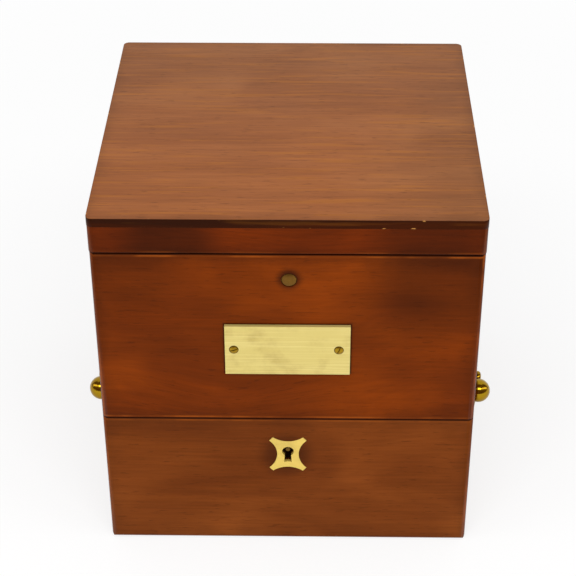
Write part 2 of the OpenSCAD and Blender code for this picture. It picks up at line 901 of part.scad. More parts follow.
module middle_cuts(side) {
  if (side == 0) {
    chamber = catch_leaf_w / 2 + 1.2;
    block(-chamber, chamber, hook_y - 1, -inner + over, leaf_foot_z + 8, seam2 + over);
    block(-chamber, chamber, leaf_front_y - fit / 2, -inner + over, leaf_foot_z - 1, seam2);
    translate([button_x, 0, button_z]) {
      rod_y(button_r + 0.25, -half - over, -inner);
      rod_y(button_flange_r + 0.2, -half + button_skin, -inner + over);
    }
    catch_screw_place() screw_body(fit / 2);
    plate_screw_places() plate_screw(fit / 2);
    block(-staple_plate_half - fit, staple_plate_half + fit, lock_front_y - fit, -inner + over,
      seam1 - over,      seam1 + seam / 2 + lock_plate_t + fit / 2);
    staple_screw_places() screw_body(fit / 2);
  }
  if (side == 2) {
    translate([0, 0, seam1]) hinge_mortise(true);
    translate([0, 0, seam2]) hinge_mortise(false);
  }
}

module middle_carcass() {
  ledge_z = seam2 - seam / 2 - glass_drop;
  ledge = inner + glass_ledge;
  color([0.5, 0.2, 0.08])
    for (side = [0:3]) difference() {
      intersection() {
        translate([0, 0, seam1 + seam / 2]) linear_extrude(middle_h - seam)
          rounded_square(box_w, box_w, corner_r);
        mitre(side, box_w, seam1, seam2);
      }
      block(-inner, inner, -inner, inner, 0, box_top);
      block(-ledge, ledge, -ledge, ledge, ledge_z, box_top);
      middle_cuts(side);
    }
}

module window_glass() {
  w = inner + glass_ledge - 2 * fit;
  z = seam2 - seam / 2 - glass_drop;
  color([0.8, 0.9, 0.9, 0.4]) block(-w, w, -w, w, z, z + glass_t);
}

module window_beads() {
  w = inner + glass_ledge - fit;
  z0 = seam2 - seam / 2 - glass_drop + glass_t;
  z1 = seam2 - seam / 2 - 0.8;
  color([0.5, 0.22, 0.1]) for (side = [0:3]) difference() {
    intersection() {
      block(-w, w, -w, w, z0, z1);
      mitre(side, box_w, z0, z1);
    }
    block(-w + bead_w, w - bead_w, -w + bead_w, w - bead_w, 0, box_top);
  }
}

module front_plate() {
  color([0.87, 0.8, 0.5]) difference() {
    block(-plate_w / 2, plate_w / 2, -half - plate_t, -half, plate_z - plate_h / 2,
      plate_z + plate_h / 2);
    plate_screw_places() plate_screw(fit / 2);
  }
}

// Slotted screw with a domed head, standing on the origin
module plate_screw(grow) {
  dome_r = arc_radius(plate_screw_r, plate_screw_dome);
  difference() {
    union() {
      rod_z(plate_shank_r + grow, -plate_screw_len - grow, 0.1);
      intersection() {
        translate([0, 0, plate_screw_dome - dome_r]) sphere(dome_r);
        rod_z(plate_screw_r, 0, plate_screw_dome + over);
      }
    }
    if (grow == 0) block(-plate_screw_r - over, plate_screw_r + over, -plate_slot_w / 2,
      plate_slot_w / 2, plate_screw_dome / 4, over);
  }
}

module plate_screws() {
  color([0.6, 0.5, 0.25]) plate_screw_places() plate_screw(0);
}

module lock_staple() {
  y0 = bolt_y - bolt_t / 2 - bolt_side - staple_leg;
  y1 = bolt_y + bolt_t / 2 + bolt_side + staple_leg;
  prong_z = bolt_z + bolt_h + bolt_lift;
  foot = prong_z - 0.3 - 2;
  z = seam1 + seam / 2;
  color("gold") difference() {
    union() {
      block(-staple_plate_half, staple_plate_half, lock_front_y, -inner - 0.6, z,
        z + lock_plate_t);
      block(-staple_t / 2, staple_t / 2, y0, y1, foot, z + 0.1);
    }
    block(-staple_t, staple_t, y0 + staple_leg, y1 - staple_leg, prong_z - 0.3,
      prong_z + prong_h + 0.5);
    staple_screw_places() screw_hole();
  }
}

module catch_spring() {
  nose_tip = hook_y + hook_t + nose_gap;
  nose_z = hook_barb_z + nose_gap;
  nose_top = seam2 - seam / 2 - glass_drop - nose_h;
  color("goldenrod") difference() {
    slab_x(-catch_leaf_w / 2, catch_leaf_w / 2) polygon([
      [leaf_back_y, leaf_foot_z], [leaf_front_y, leaf_foot_z], [leaf_front_y, nose_z],
      [nose_tip, nose_z], [nose_tip, nose_z + nose_h], [leaf_front_y - nose_gap, nose_top],
      [leaf_back_y, nose_top]]);
    catch_screw_place() screw_hole();
  }
}

module catch_button() {
  dome_r = arc_radius(button_r, button_dome);
  head_y = -half + button_skin;
  color([0.55, 0.45, 0.25]) translate([button_x, 0, button_z]) {
    intersection() {
      rod_y(button_r, -half - over, head_y + 0.2);
      translate([0, -half - button_out + dome_r, 0]) sphere(dome_r, $fn = 96);
    }
    rod_y(button_flange_r, head_y + fit, head_y + fit + button_flange_t);
    rod_y(button_stem_r, head_y, leaf_front_y - run_gap);
  }
}

module middle_tier_screws() {
  color("darkgoldenrod") {
    translate([0, 0, seam1]) hinge_screws(true);
    translate([0, 0, seam2]) hinge_screws(false);
    staple_screw_places() wood_screw(10);
    catch_screw_place() wood_screw(50);
  }
}

// Lid

module hook_screw_places() {
  for (x = [-1, 1]) translate([x * hook_screw_x, hook_y + 2, seam2 + seam / 2])
    mirror([0, 0, 1]) children();
}

module lid_cuts(side) {
  if (side == 0) {
    block(-hook_plate_w / 2 - fit, hook_plate_w / 2 + fit, hook_y - hook_plate_front - fit,
      hook_y + hook_plate_back + fit, seam2 - over, seam2 + seam / 2 + leaf_t + fit / 2);
    hook_screw_places() screw_body(fit / 2);
  }
  if (side == 2) translate([0, 0, seam2]) hinge_mortise(true);
}

// The lid's outline: proud at the front and sides, flush at the back
module lid_outline(proud) {
  translate([0, -proud / 2]) rounded_square(box_w + 2 * proud, box_w + proud, corner_r);
}

module lid_frame() {
  z0 = seam2 + seam / 2;
  color([0.4, 0.15, 0.06])
    for (side = [0:3]) difference() {
      intersection() {
        translate([0, 0, z0]) linear_extrude(lid_board_z - z0) lid_outline(lid_proud - fit);
        mitre(side, box_w, z0, lid_board_z);
      }
      block(-inner, inner, -inner, inner, 0, box_top);
      if (side != 2) edge_cut(side, z0);
      lid_cuts(side);
    }
}

module edge_cut(side, z0) {
  out = half + lid_proud - fit;
  rotate(side * 90) edge_round(lid_edge_r, box_w, -out, z0);
}

module lid_board() {
  color([0.6, 0.3, 0.15]) translate([0, 0, lid_board_z]) linear_extrude(lid_board_t)
    lid_outline(lid_proud);
}

module catch_hook() {
  z = seam2 + seam / 2;
  y = hook_y;
  color("gold") difference() {
    union() {
      block(-hook_plate_w / 2, hook_plate_w / 2, y - hook_plate_front, y + hook_plate_back, z,
        z + leaf_t);
      slab_x(-hook_w / 2, hook_w / 2) polygon([
        [y, z + 0.1], [y + hook_t, z + 0.1], [y + hook_t, hook_barb_z],
        [y + hook_t + hook_barb, hook_barb_z], [y + hook_t + hook_barb, hook_barb_z - hook_barb_t],
        [y + hook_t, hook_tip_z], [y, hook_tip_z]]);
    }
    hook_screw_places() screw_hole();
  }
}

module lid_screws() {
  color("darkgoldenrod") {
    translate([0, 0, seam2]) hinge_screws(true);
    hook_screw_places() wood_screw(35);
  }
}

// Gimbal ring

module gimbal_ring() {
  h = ring_h / 2;
  color("gold") translate([0, 0, gimbal_z]) difference() {
    rotate_extrude($fn = 96) polygon([
      [ring_r, -h + ring_bevel], [ring_r + ring_bevel, -h], [ring_out - ring_bevel, -h],
      [ring_out, -h + ring_bevel], [ring_out, h - ring_bevel], [ring_out - ring_bevel, h],
      [ring_r + ring_bevel, h], [ring_r, h - ring_bevel]]);
    both_sides() {
      rod_x(pivot_r + run_gap, ring_r - 1, ring_out + 1);
      rod_x(pivot_head_r + 0.2, ring_r - 2, ring_r + pivot_head_t + 0.3);
    }
    for (turn = [0, 180]) rotate(turn) {
      rod_y(stud_body_r + run_gap, ring_r - 2, ring_out + 1);
      rod_y(pivot_head_r + 0.2, ring_out - 0.6, ring_out + 2);
    }
  }
}

module inner_pivot_screws() {
  tip = bowl_r + 1.3;
  step = bowl_r + trunnion_out + 0.3;
  color("silver") translate([0, 0, gimbal_z]) for (turn = [0, 180]) rotate(turn) difference() {
    union() {
      rod_y(pivot_r, tip, step + 0.1);
      rod_y(stud_body_r, step, ring_out);
      rod_y(pivot_head_r, ring_out - 0.55, ring_out + 0.6);
    }
    block(-pivot_head_r - over, pivot_head_r + over, ring_out + 0.1, ring_out + over,
      -pivot_slot_w / 2, pivot_slot_w / 2);
  }
}

// Bowl

module bowl_outside() {
  translate([0, -bowl_depth]) square([bowl_r - bowl_corner_r, bowl_depth + bowl_rise]);
  translate([0, -bowl_depth + bowl_corner_r])
    square([bowl_r, bowl_depth - bowl_corner_r + bowl_rise]);
  translate([bowl_r - bowl_corner_r, -bowl_depth + bowl_corner_r]) intersection() {
    circle(bowl_corner_r);
    translate([-1, -bowl_corner_r]) square(bowl_corner_r + 1);
  }
}

module bowl() {
  shutter_pin_at = barrel_at + [shutter_reach, 0];
  color("gold") translate([0, 0, gimbal_z]) difference() {
    union() {
      rotate_extrude($fn = 96) bowl_outside();
      for (turn = [0, 180]) rotate(turn)
        rod_y(trunnion_boss_r, bowl_r - 2, bowl_r + trunnion_out);
    }
    rod_z(seat_r, -bowl_depth + bowl_floor_t, bowl_rise + over);
    rod_z(rim_in_r, seat_z, bowl_rise + over);
    for (turn = [0, 180]) rotate(turn)
      rod_y(pivot_r + run_gap, bowl_r + 1, bowl_r + trunnion_out + over);
    translate(barrel_at) rod_z(winding_hole_r, -bowl_depth - over, 0);
    translate(shutter_pin_at) rod_z(tap_r, -bowl_depth - over, -bowl_depth + 3);
  }
}

module bezel() {
  z = bowl_rise;
  groove_r = crystal_r + fit;
  color("gold") translate([0, 0, gimbal_z]) rotate_extrude($fn = 96) polygon([
    [groove_r, z - bezel_skirt_h], [rim_in_r - 2 * fit, z - bezel_skirt_h],
    [rim_in_r - 2 * fit, z], [bezel_out_r, z], [bezel_out_r, z + bezel_edge_h],
    [bezel_out_r - bezel_slope, bezel_top], [bezel_lip_r + bezel_lip_w, bezel_top],
    [bezel_lip_r, bezel_top - bezel_lip_h], [bezel_lip_r, crystal_z + crystal_t + fit],
    [groove_r, crystal_z + crystal_t + fit], [groove_r, crystal_z - fit],
    [bezel_lip_r + bezel_seat_w, crystal_z - fit],
    [bezel_lip_r + bezel_seat_w, crystal_z - bezel_seat], [groove_r, crystal_z - bezel_seat]]);
}

module crystal() {
  color([0.85, 0.92, 0.95, 0.35]) translate([0, 0, gimbal_z])
    rod_z(crystal_r, crystal_z, crystal_z + crystal_t);
}

foot_angles = [20, 140, 250];

module dial() {
  color([0.9, 0.9, 0.87]) translate([0, 0, gimbal_z]) difference() {
    union() {
      rod_z(dial_r, dial_z, dial_top);
      for (a = foot_angles) translate(polar(dial_foot_at, a))
        rod_z(dial_foot_r, seat_z + 0.4, dial_z + 0.1);
    }
    rod_z(dial_hole_r, dial_z - over, dial_top + over);
    translate(seconds_at) rod_z(seconds_hole_r, dial_z - over, dial_top + over);
  }
}

module pillar_places() {
  for (a = pillar_angles) translate(polar(pillar_at, a)) children();
}

module plate_holes() {
  for (hole = [[centre_at, centre_arbor_r], [third_at, arbor_r], [seconds_at, arbor_r],
      [escape_at, fine_arbor_r], [lever_at, fine_arbor_r], [barrel_at, barrel_arbor_r]])
    translate(hole[0]) rod_z(hole[1] + hole_gap, -through, through);
}

module pillar_plate() {
  color("gold") translate([0, 0, gimbal_z]) difference() {
    union() {
      rod_z(rim_in_r - 0.3, seat_z, pillar_plate_top);
      pillar_places() rod_z(pillar_r, back_plate_top, seat_z + 0.1);
      translate(minute_at) rod_z(fine_arbor_r, seat_z, hour_wheel_z + 0.8);
    }
    plate_holes();
    translate(balance_at) rod_z(staff_r + hole_gap, -through, through);
    for (a = foot_angles) translate(polar(dial_foot_at, a))
      rod_z(dial_foot_r + fit, -through, through);
    pillar_places() rod_z(tap_r, back_plate_top - over, back_plate_top + 4);
  }
}

module back_plate() {
  color("gold") translate([0, 0, gimbal_z]) difference() {
    rod_z(back_plate_r, back_plate_bottom, back_plate_top);
    plate_holes();
    translate(balance_at) rod_z(balance_cut_r, -through, through);
    pillar_places() rod_z(tap_r, -through, through);
    translate(cock_foot_at) rod_z(tap_r, -through, through);
    translate(click_at) rod_z(click_stud_r + hole_gap, -through, through);
  }
}

module small_screw(length) {
  difference() {
    union() {
      rod_z(1.6, -1, 0);
      rod_z(0.8, -0.1, length);
    }
    block(-2, 2, -0.2, 0.2, -1.5, -0.6);
  }
}

module movement_screws() {
  color("slateblue") translate([0, 0, gimbal_z]) {
    pillar_places() translate([0, 0, back_plate_bottom]) small_screw(plate_thick + 3.8);
    translate([cock_foot_at[0], cock_foot_at[1], cock_z]) small_screw(cock_t + 3.5);
    translate([barrel_at[0] + shutter_reach, barrel_at[1], -bowl_depth - shutter_drop
      - shutter_t - 0.1]) small_screw(4);
  }
}

module balance_cock() {
  arm = norm(cock_foot_at - balance_at);
  stud_at = spring_r + spring_t / 2 + glue_gap + spring_stud_r;
  color("gold") translate([balance_at[0], balance_at[1], gimbal_z]) rotate(cock_heading)
    difference() {
    union() {
      rod_z(cock_boss_r, cock_z, cock_z + cock_t);
      block(0, arm, -cock_side, cock_side, cock_z, cock_z + cock_t);
      translate([arm, 0, 0]) rod_z(cock_foot_r, cock_z, back_plate_bottom);
      translate([stud_at, 0, 0]) rod_z(spring_stud_r, cock_z + 0.1, spring_z + spring_h);
    }
    rod_z(staff_pivot_r + hole_gap, cock_z - over, 0);
    translate([arm, 0, 0]) rod_z(tap_r, -through, through);
  }
}

module winding_shutter() {
  z = -bowl_depth - shutter_drop - shutter_t;
  color("gold") translate([barrel_at[0], barrel_at[1], gimbal_z + z]) difference() {
    union() {
      rod_z(winding_hole_r + 1.5, 0, shutter_t);
      translate([shutter_reach, 0, 0]) rod_z(2.6, 0, shutter_t);
      block(0, shutter_reach, -2.2, 2.2, 0, shutter_t);
    }
    translate([shutter_reach, 0, 0]) rod_z(shutter_pin_r + run_gap, -over, shutter_t + over);
  }
}

// Wheelwork

// One tooth as points, from the root up one side, over the tip and down
function tooth_points(a, pitch, root_r, pitch_r, tip_r, root_w, pitch_w, tip_w) = [
  polar(root_r, a - root_w * pitch / 2), polar(pitch_r, a - pitch_w * pitch / 2),
  polar(tip_r, a - tip_w * pitch / 2), polar(tip_r, a + tip_w * pitch / 2),
  polar(pitch_r, a + pitch_w * pitch / 2), polar(root_r, a + root_w * pitch / 2)];

module toothed(teeth, m, add, root_w, pitch_w, tip_w) {
  r = teeth * m / 2;
  pitch = 360 / teeth;
  polygon([for (i = [0:teeth - 1])
    each tooth_points(i * pitch, pitch, r - 1.5 * m, r, r + add * m, root_w, pitch_w, tip_w)]);
}

module wheel_teeth(teeth, m) {
  toothed(teeth, m, wheel_addendum, 0.46, 0.4, 0.12);
}

module leaf_teeth(leaves, m) {
  toothed(leaves, m, 0.75, 0.3, 0.3, 0.1);
}

// The turn that puts a gap of the second wheel opposite a tooth of the first
function mesh_turn(teeth, turn, direction, next_teeth) =
  let (part = (direction - turn) * teeth / 360)
  direction + 180 - (0.5 - part) * 360 / next_teeth;

module crossed_wheel(teeth, m, t, hub_r) {
  r = teeth * m / 2;
  linear_extrude(t) difference() {
    wheel_teeth(teeth, m);
    difference() {
      circle(r - 3.2 * m);
      circle(hub_r);
      for (a = [0, 90]) rotate(a) square([2 * r, 0.9], center = true);
    }
  }
}

module leaves(count, m, z0, z1) {
  translate([0, 0, z0]) linear_extrude(z1 - z0) leaf_teeth(count, m);
}

centre_turn = 0;
barrel_turn = mesh_turn(centre_leaves, 0, barrel_direction, barrel_teeth);
third_leaf_turn = mesh_turn(centre_teeth, centre_turn, heading(centre_at, third_at), third_leaves);
fourth_leaf_turn = mesh_turn(third_teeth, 0, heading(third_at, seconds_at), fourth_leaves);
escape_leaf_turn = mesh_turn(fourth_teeth, 0, escape_direction, escape_leaves);
minute_wheel_turn = mesh_turn(cannon_leaves, 0, minute_direction, minute_teeth);
hour_wheel_turn = mesh_turn(minute_leaves, 0, minute_direction + 180, hour_teeth);

module barrel() {
  color("goldenrod") translate([barrel_at[0], barrel_at[1], gimbal_z]) {
    top = barrel_bottom + barrel_h;
    difference() {
      union() {
        rod_z(barrel_drum_r, barrel_bottom, top - barrel_skin - 0.05);
        translate([0, 0, barrel_teeth_z]) rotate(barrel_turn) linear_extrude(1)
          wheel_teeth(barrel_teeth, barrel_m);
      }
      rod_z(barrel_drum_r - barrel_skin, barrel_bottom + barrel_skin, top + over);
      rod_z(barrel_hole_r, barrel_bottom - over, top);
    }
    difference() {
      rod_z(barrel_drum_r, top - barrel_skin, top);
      rod_z(barrel_hole_r, barrel_bottom - over, top + over);
    }
  }
}

module barrel_arbor() {
  color("silver") translate([barrel_at[0], barrel_at[1], gimbal_z]) {
    rod_z(barrel_arbor_r, back_plate_bottom - ratchet_gap, pillar_plate_top);
    translate([0, 0, back_plate_bottom - ratchet_gap - ratchet_t]) linear_extrude(ratchet_t)
      wheel_teeth(ratchet_teeth, ratchet_m);
    translate([0, 0, square_bottom])
      linear_extrude(back_plate_bottom - ratchet_gap - 0.1 - square_bottom)
        square(square_w, center = true);
  }
}

// A flat spiral strip from r0 out to r1
module spiral(r0, r1, turns, t, steps) {
  n = turns * steps;
  function at(i, side) = polar(r0 + (r1 - r0) * i / n + side * t / 2, i * 360 / steps);
  polygon(concat([for (i = [0:n]) at(i, 1)], [for (i = [n:-1:0]) at(i, -1)]));
}

module mainspring() {
  z = barrel_bottom + barrel_skin + 0.3;
  color("steelblue") translate([barrel_at[0], barrel_at[1], gimbal_z + z])
    linear_extrude(barrel_h - 2 * barrel_skin - 0.6)
      spiral(1.8, barrel_drum_r - barrel_skin - 0.4, 9, 0.3, 16);
}

module ratchet_click() {
  tip_r = ratchet_teeth * ratchet_m / 2 + wheel_addendum * ratchet_m + 0.12;
  back = click_reach;
  color("silver") translate([barrel_at[0], barrel_at[1],
    gimbal_z + back_plate_bottom - ratchet_gap - ratchet_t]) rotate(click_direction) {
      translate([back, 0, 0]) rod_z(click_stud_r, 0.5, plate_thick + ratchet_t + 0.1);
      linear_extrude(ratchet_t) {
        translate([back, 0]) circle(1.4);
        polygon([[back - 1.2, -0.6], polar(tip_r, -18), polar(tip_r + 0.9, -20), [back + 1.2, -0.6]]);
      }
    }
}

module centre_wheel() {
  color("gold") translate([0, 0, gimbal_z]) {
    rod_z(centre_arbor_r, arbor_bottom, minute_hand_z + 1);
    leaves(centre_leaves, barrel_m, barrel_teeth_z - 0.4, barrel_teeth_z + 1.6);
    translate([0, 0, centre_wheel_z]) rotate(centre_turn)
      crossed_wheel(centre_teeth, centre_m, wheel_t, 1.8);
    difference() {
      union() {
        leaves(cannon_leaves, cannon_m, minute_wheel_z - 0.1, minute_wheel_z + 0.7);
        rod_z(cannon_pipe_r, minute_wheel_z - 0.1, minute_hand_z + hand_t + 0.2);
      }
      rod_z(centre_arbor_r + glue_gap, 0, through);
    }
  }
}

// A hand that points to twelve: a blade with a ring near its tip
module hand(length, blade_w, ring, hub_r, hole_r, angle, z, t) {
  ring_at = length * 0.72;
  translate([0, 0, gimbal_z + z]) rotate(-angle) difference() {
    union() {
      cylinder(r = hub_r, h = t);
      translate([0, ring_at, 0]) cylinder(r = ring, h = t);
      linear_extrude(t) polygon([[-blade_w / 2, 0], [-blade_w * 0.3, ring_at], [-0.08, length],
        [0.08, length], [blade_w * 0.3, ring_at], [blade_w / 2, 0]]);
    }
    translate([0, 0, -over]) cylinder(r = hole_r, h = t + 2 * over);
    translate([0, ring_at, -over]) cylinder(r = ring * 0.55, h = t + 2 * over);
  }
}

module minute_hand() {
  color("navy") hand(minute_len, 1.1, 1.5, 1.9, cannon_pipe_r + glue_gap, minute_angle, minute_hand_z,
    hand_t);
}

module third_wheel() {
  color("gold") translate([third_at[0], third_at[1], gimbal_z]) {
    rod_z(arbor_r, arbor_bottom, arbor_top);
    rotate(third_leaf_turn)
      leaves(third_leaves, centre_m, centre_wheel_z - 0.3, centre_wheel_z + wheel_t + 0.3);
    translate([0, 0, third_wheel_z]) crossed_wheel(third_teeth, third_m, wheel_t, 1.4);
  }
}

module seconds_wheel() {
  color("gold") translate([seconds_at[0], seconds_at[1], gimbal_z]) {
    rod_z(arbor_r, arbor_bottom, seconds_hand_z + 0.5);
    rotate(fourth_leaf_turn)
      leaves(fourth_leaves, third_m, third_wheel_z - 0.3, third_wheel_z + wheel_t + 0.3);
    translate([0, 0, fourth_wheel_z]) crossed_wheel(fourth_teeth, fourth_m, wheel_t, 1.2);
  }
}

module seconds_hand() {
  color("navy") translate([seconds_at[0], seconds_at[1], 0])
    hand(seconds_len, 0.6, 0.6, 0.9, arbor_r + glue_gap, seconds_angle, seconds_hand_z, 0.3);
}

module escape_outline() {
  pitch = 360 / escape_teeth;
  polygon([for (i = [0:escape_teeth - 1]) each [
    polar(escape_r - 1.2, i * pitch - 7), polar(escape_r - 0.9, i * pitch - 4.5),
    polar(escape_r, i * pitch - 1), polar(escape_r, i * pitch + 1),
    polar(escape_r - 1.2, i * pitch + 5)]]);
}

module escape_wheel() {
  quarter = 360 / escape_teeth / 4;
  color("gold") translate([escape_at[0], escape_at[1], gimbal_z]) {
    rod_z(fine_arbor_r, arbor_bottom, arbor_top);
    rotate(escape_leaf_turn)
      leaves(escape_leaves, fourth_m, fourth_wheel_z - 0.3, fourth_wheel_z + wheel_t + 0.3);
    translate([0, 0, escape_wheel_z]) rotate(balance_heading + 30 + quarter)
      linear_extrude(0.5) difference() {
        escape_outline();
        difference() {
          circle(escape_r - 2);
          circle(0.9);
          for (a = [0, 90]) rotate(a) square([2 * escape_r, 0.6], center = true);
        }
      }
  }
}

module pallet_lever() {
  stone_r = escape_r + pallet_gap;
  fork = norm(balance_at - lever_at) - pallet_hub_r;
  color("silver") translate([escape_at[0], escape_at[1], gimbal_z + escape_wheel_z])
    rotate(balance_heading) {
      translate([lever_reach, 0, -escape_wheel_z]) rod_z(fine_arbor_r, arbor_bottom, arbor_top);
      linear_extrude(pallet_t) {
        for (s = [-1, 1]) rotate(s * pallet_turn)
          translate([stone_r, -pallet_w / 2]) square([1.5, pallet_w]);
        for (s = [-1, 1]) polygon([polar(stone_r + 0.6, s * pallet_arm_turn),
          polar(stone_r + 1.6, s * pallet_arm_turn),
          [lever_reach + pallet_hub_r, s * 0.5], [lever_reach + pallet_hub_r, -s * 0.5],
          [lever_reach - 0.4, 0]]);
        translate([lever_reach, 0]) circle(pallet_hub_r);
        difference() {
          translate([lever_reach, -fork_side]) square([fork, 2 * fork_side]);
          translate([lever_reach + fork - pallet_hub_r, -fork_slot_side])
            square([2, 2 * fork_slot_side]);
        }
      }
    }
}

module balance_wheel() {
  color("gold") translate([balance_at[0], balance_at[1], gimbal_z]) {
    rod_z(staff_r, spring_z - 1.2, arbor_top);
    rod_z(staff_pivot_r, cock_z + 0.2, -2);
    rod_z(1.8, roller_z, roller_z + 0.5);
    rotate(balance_heading + 180) translate([1.4, 0, 0])
      rod_z(0.18, roller_z, escape_wheel_z - 0.12);
    translate([0, 0, balance_z]) linear_extrude(balance_h) {
      difference() {
        circle(balance_r);
        circle(balance_r - 1.1);
      }
      square([2 * balance_r - 1, 1.4], center = true);
      circle(1.3);
    }
    for (a = [20:40:340]) rotate(a) translate([0, 0, balance_z + balance_h / 2])
      rod_x(0.45, balance_r - 0.3, balance_r + 0.7);
  }
}

module balance_spring() {
  color("steelblue") translate([balance_at[0], balance_at[1], gimbal_z + spring_z])
    rotate(cock_heading) linear_extrude(spring_h) spiral(0.8, spring_r, 8, spring_t, 20);
}

module minute_wheel() {
  color("gold") translate([minute_at[0], minute_at[1], gimbal_z]) difference() {
    union() {
      translate([0, 0, minute_wheel_z]) rotate(minute_wheel_turn) linear_extrude(motion_t)
        wheel_teeth(minute_teeth, cannon_m);
      leaves(minute_leaves, hour_m, minute_wheel_z, hour_wheel_z + motion_t + 0.2);
    }
    rod_z(fine_arbor_r + run_gap, 0, through);
  }
}

module hour_wheel() {
  color("gold") translate([0, 0, gimbal_z]) difference() {
    union() {
      translate([0, 0, hour_wheel_z]) rotate(hour_wheel_turn) linear_extrude(motion_t)
        wheel_teeth(hour_teeth, hour_m);
      rod_z(hour_pipe_r, hour_wheel_z, hour_hand_z + hand_t + 0.1);
    }
    rod_z(cannon_pipe_r + hole_gap, 0, through);
  }
}

module hour_hand() {
  color("navy") hand(hour_len, 1.6, 1.9, 2.6, hour_pipe_r + glue_gap, hour_angle, hour_hand_z, hand_t);
}

module tier_hinge_lower_leaves() {
  color("gold") translate([0, 0, seam1]) hinge_places() hinge_leaf(false);
}

module tier_hinge_upper_leaves() {
  color("gold") translate([0, 0, seam1]) hinge_places() hinge_leaf(true);
}

module lid_hinge_lower_leaves() {
  color("gold") translate([0, 0, seam2]) hinge_places() hinge_leaf(false);
}

module lid_hinge_upper_leaves() {
  color("gold") translate([0, 0, seam2]) hinge_places() hinge_leaf(true);
}

module tier_hinge_pins() {
  color("silver") hinge_pins(seam1);
}

module lid_hinge_pins() {
  color("silver") hinge_pins(seam2);
}

lower_carcass();
base_board();
key_escutcheon();
lock_case();
lower_case_screws();
handle_posts();
handle_nuts();
gimbal_brackets();
outer_pivot_screws();
gimbal_lock_post();
tier_hinge_lower_leaves();
tier_hinge_pins();
lock_bolt();
left_handle_bail();
right_handle_bail();
gimbal_lock_lever();
middle_carcass();
tier_hinge_upper_leaves();
lid_hinge_lower_leaves();
lid_hinge_pins();
middle_tier_screws();
window_glass();
window_beads();
front_plate();
plate_screws();
catch_spring();
lock_staple();
catch_button();
lid_frame();
lid_board();
lid_hinge_upper_leaves();
lid_screws();
catch_hook();
gimbal_ring();
inner_pivot_screws();
bowl();
bezel();
crystal();
dial();
pillar_plate();
back_plate();
movement_screws();
balance_cock();
winding_shutter();
barrel();
barrel_arbor();
mainspring();
ratchet_click();
centre_wheel();
minute_hand();
third_wheel();
seconds_wheel();
seconds_hand();
escape_wheel();
pallet_lever();
balance_wheel();
balance_spring();
minute_wheel();
hour_wheel();
hour_hand();
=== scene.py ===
# %% [markdown]
# # A deck chronometer in its box
#
# The object is a ship's timekeeper. A brass bowl hangs in gimbals inside a mahogany box
# of three tiers: a lower case, a middle tier with a window, and a lid. This lesson dresses
# the exact solids of the object with woods, metals and glass, adds the printing on the
# dial, and sets up the camera and the light of the photograph.
#
# Every object is in metres. The origin is the centre of the box's underside, +Z is up, and
# the front with the keyhole faces -Y.

# %% Load the frame
import math

import bmesh
import bpy
from mathutils import Matrix, Vector


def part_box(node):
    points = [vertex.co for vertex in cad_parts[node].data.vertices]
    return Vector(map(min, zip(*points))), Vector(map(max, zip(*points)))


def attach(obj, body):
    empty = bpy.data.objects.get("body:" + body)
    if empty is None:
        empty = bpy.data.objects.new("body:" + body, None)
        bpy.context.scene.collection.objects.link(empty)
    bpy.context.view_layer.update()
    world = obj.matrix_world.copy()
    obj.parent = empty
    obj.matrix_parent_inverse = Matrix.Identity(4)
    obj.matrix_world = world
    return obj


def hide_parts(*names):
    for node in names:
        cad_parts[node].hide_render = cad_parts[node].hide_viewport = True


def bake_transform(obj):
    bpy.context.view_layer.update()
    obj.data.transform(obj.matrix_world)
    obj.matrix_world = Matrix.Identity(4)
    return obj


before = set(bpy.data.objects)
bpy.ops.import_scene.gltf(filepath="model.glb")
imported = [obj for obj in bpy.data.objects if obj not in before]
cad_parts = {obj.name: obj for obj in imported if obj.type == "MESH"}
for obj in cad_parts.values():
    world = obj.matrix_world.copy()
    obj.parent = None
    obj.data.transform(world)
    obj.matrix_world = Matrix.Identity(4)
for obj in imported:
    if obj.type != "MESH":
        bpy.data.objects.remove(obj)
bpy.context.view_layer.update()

# %% [markdown]
# ## Units
#
# The box was measured in millimetres, so sizes are written in millimetres and turned into
# metres by one factor. The heights of the three tiers and of the dial get names, because
# the woods and the printing follow them.

# %% Units and names
MM = 0.001
HALF = 75 * MM
LOWER_TOP = 64.85 * MM
MIDDLE = (65.15 * MM, 143.85 * MM)
LID = (144.15 * MM, 159.5 * MM)
TOP_BOARD_HALF = 75.3 * MM
TOP_BOARD_Z = 155.8 * MM
GIMBAL_Z = 60 * MM
DIAL_TOP = GIMBAL_Z + 7.4 * MM
SECONDS_CENTRE = (0.0, -18 * MM)
print("lower tier", LOWER_TOP, "middle", MIDDLE, "lid", LID)

# %% [markdown]
# ## The camera
#
# The corners of the box in the photograph fix the camera. It stands about 0.59 m in front
# and looks down by 34 degrees. Its turn is written as three angles, from which the three
# axes of the camera follow. A long lens keeps the sides from spreading.

# %% Camera
CAMERA_PLACE = Vector((0.00933, -0.59009, 0.47816))
CAMERA_YAW, CAMERA_PITCH, CAMERA_ROLL = -0.0176, 0.5959, -0.0035
FOCAL_PIXELS = 1630.6
IMAGE_PIXELS = 576
SENSOR_MM = 36.0


def camera_axes(yaw, pitch, roll):
    """The camera's right, up and backward directions."""
    forward = Vector(
        (math.sin(yaw) * math.cos(pitch), math.cos(yaw) * math.cos(pitch), -math.sin(pitch))
    )
    right = Vector((math.cos(yaw), -math.sin(yaw), 0))
    up = right.cross(forward)
    turned_right = right * math.cos(roll) + up * math.sin(roll)
    turned_up = up * math.cos(roll) - right * math.sin(roll)
    return turned_right, turned_up, -forward


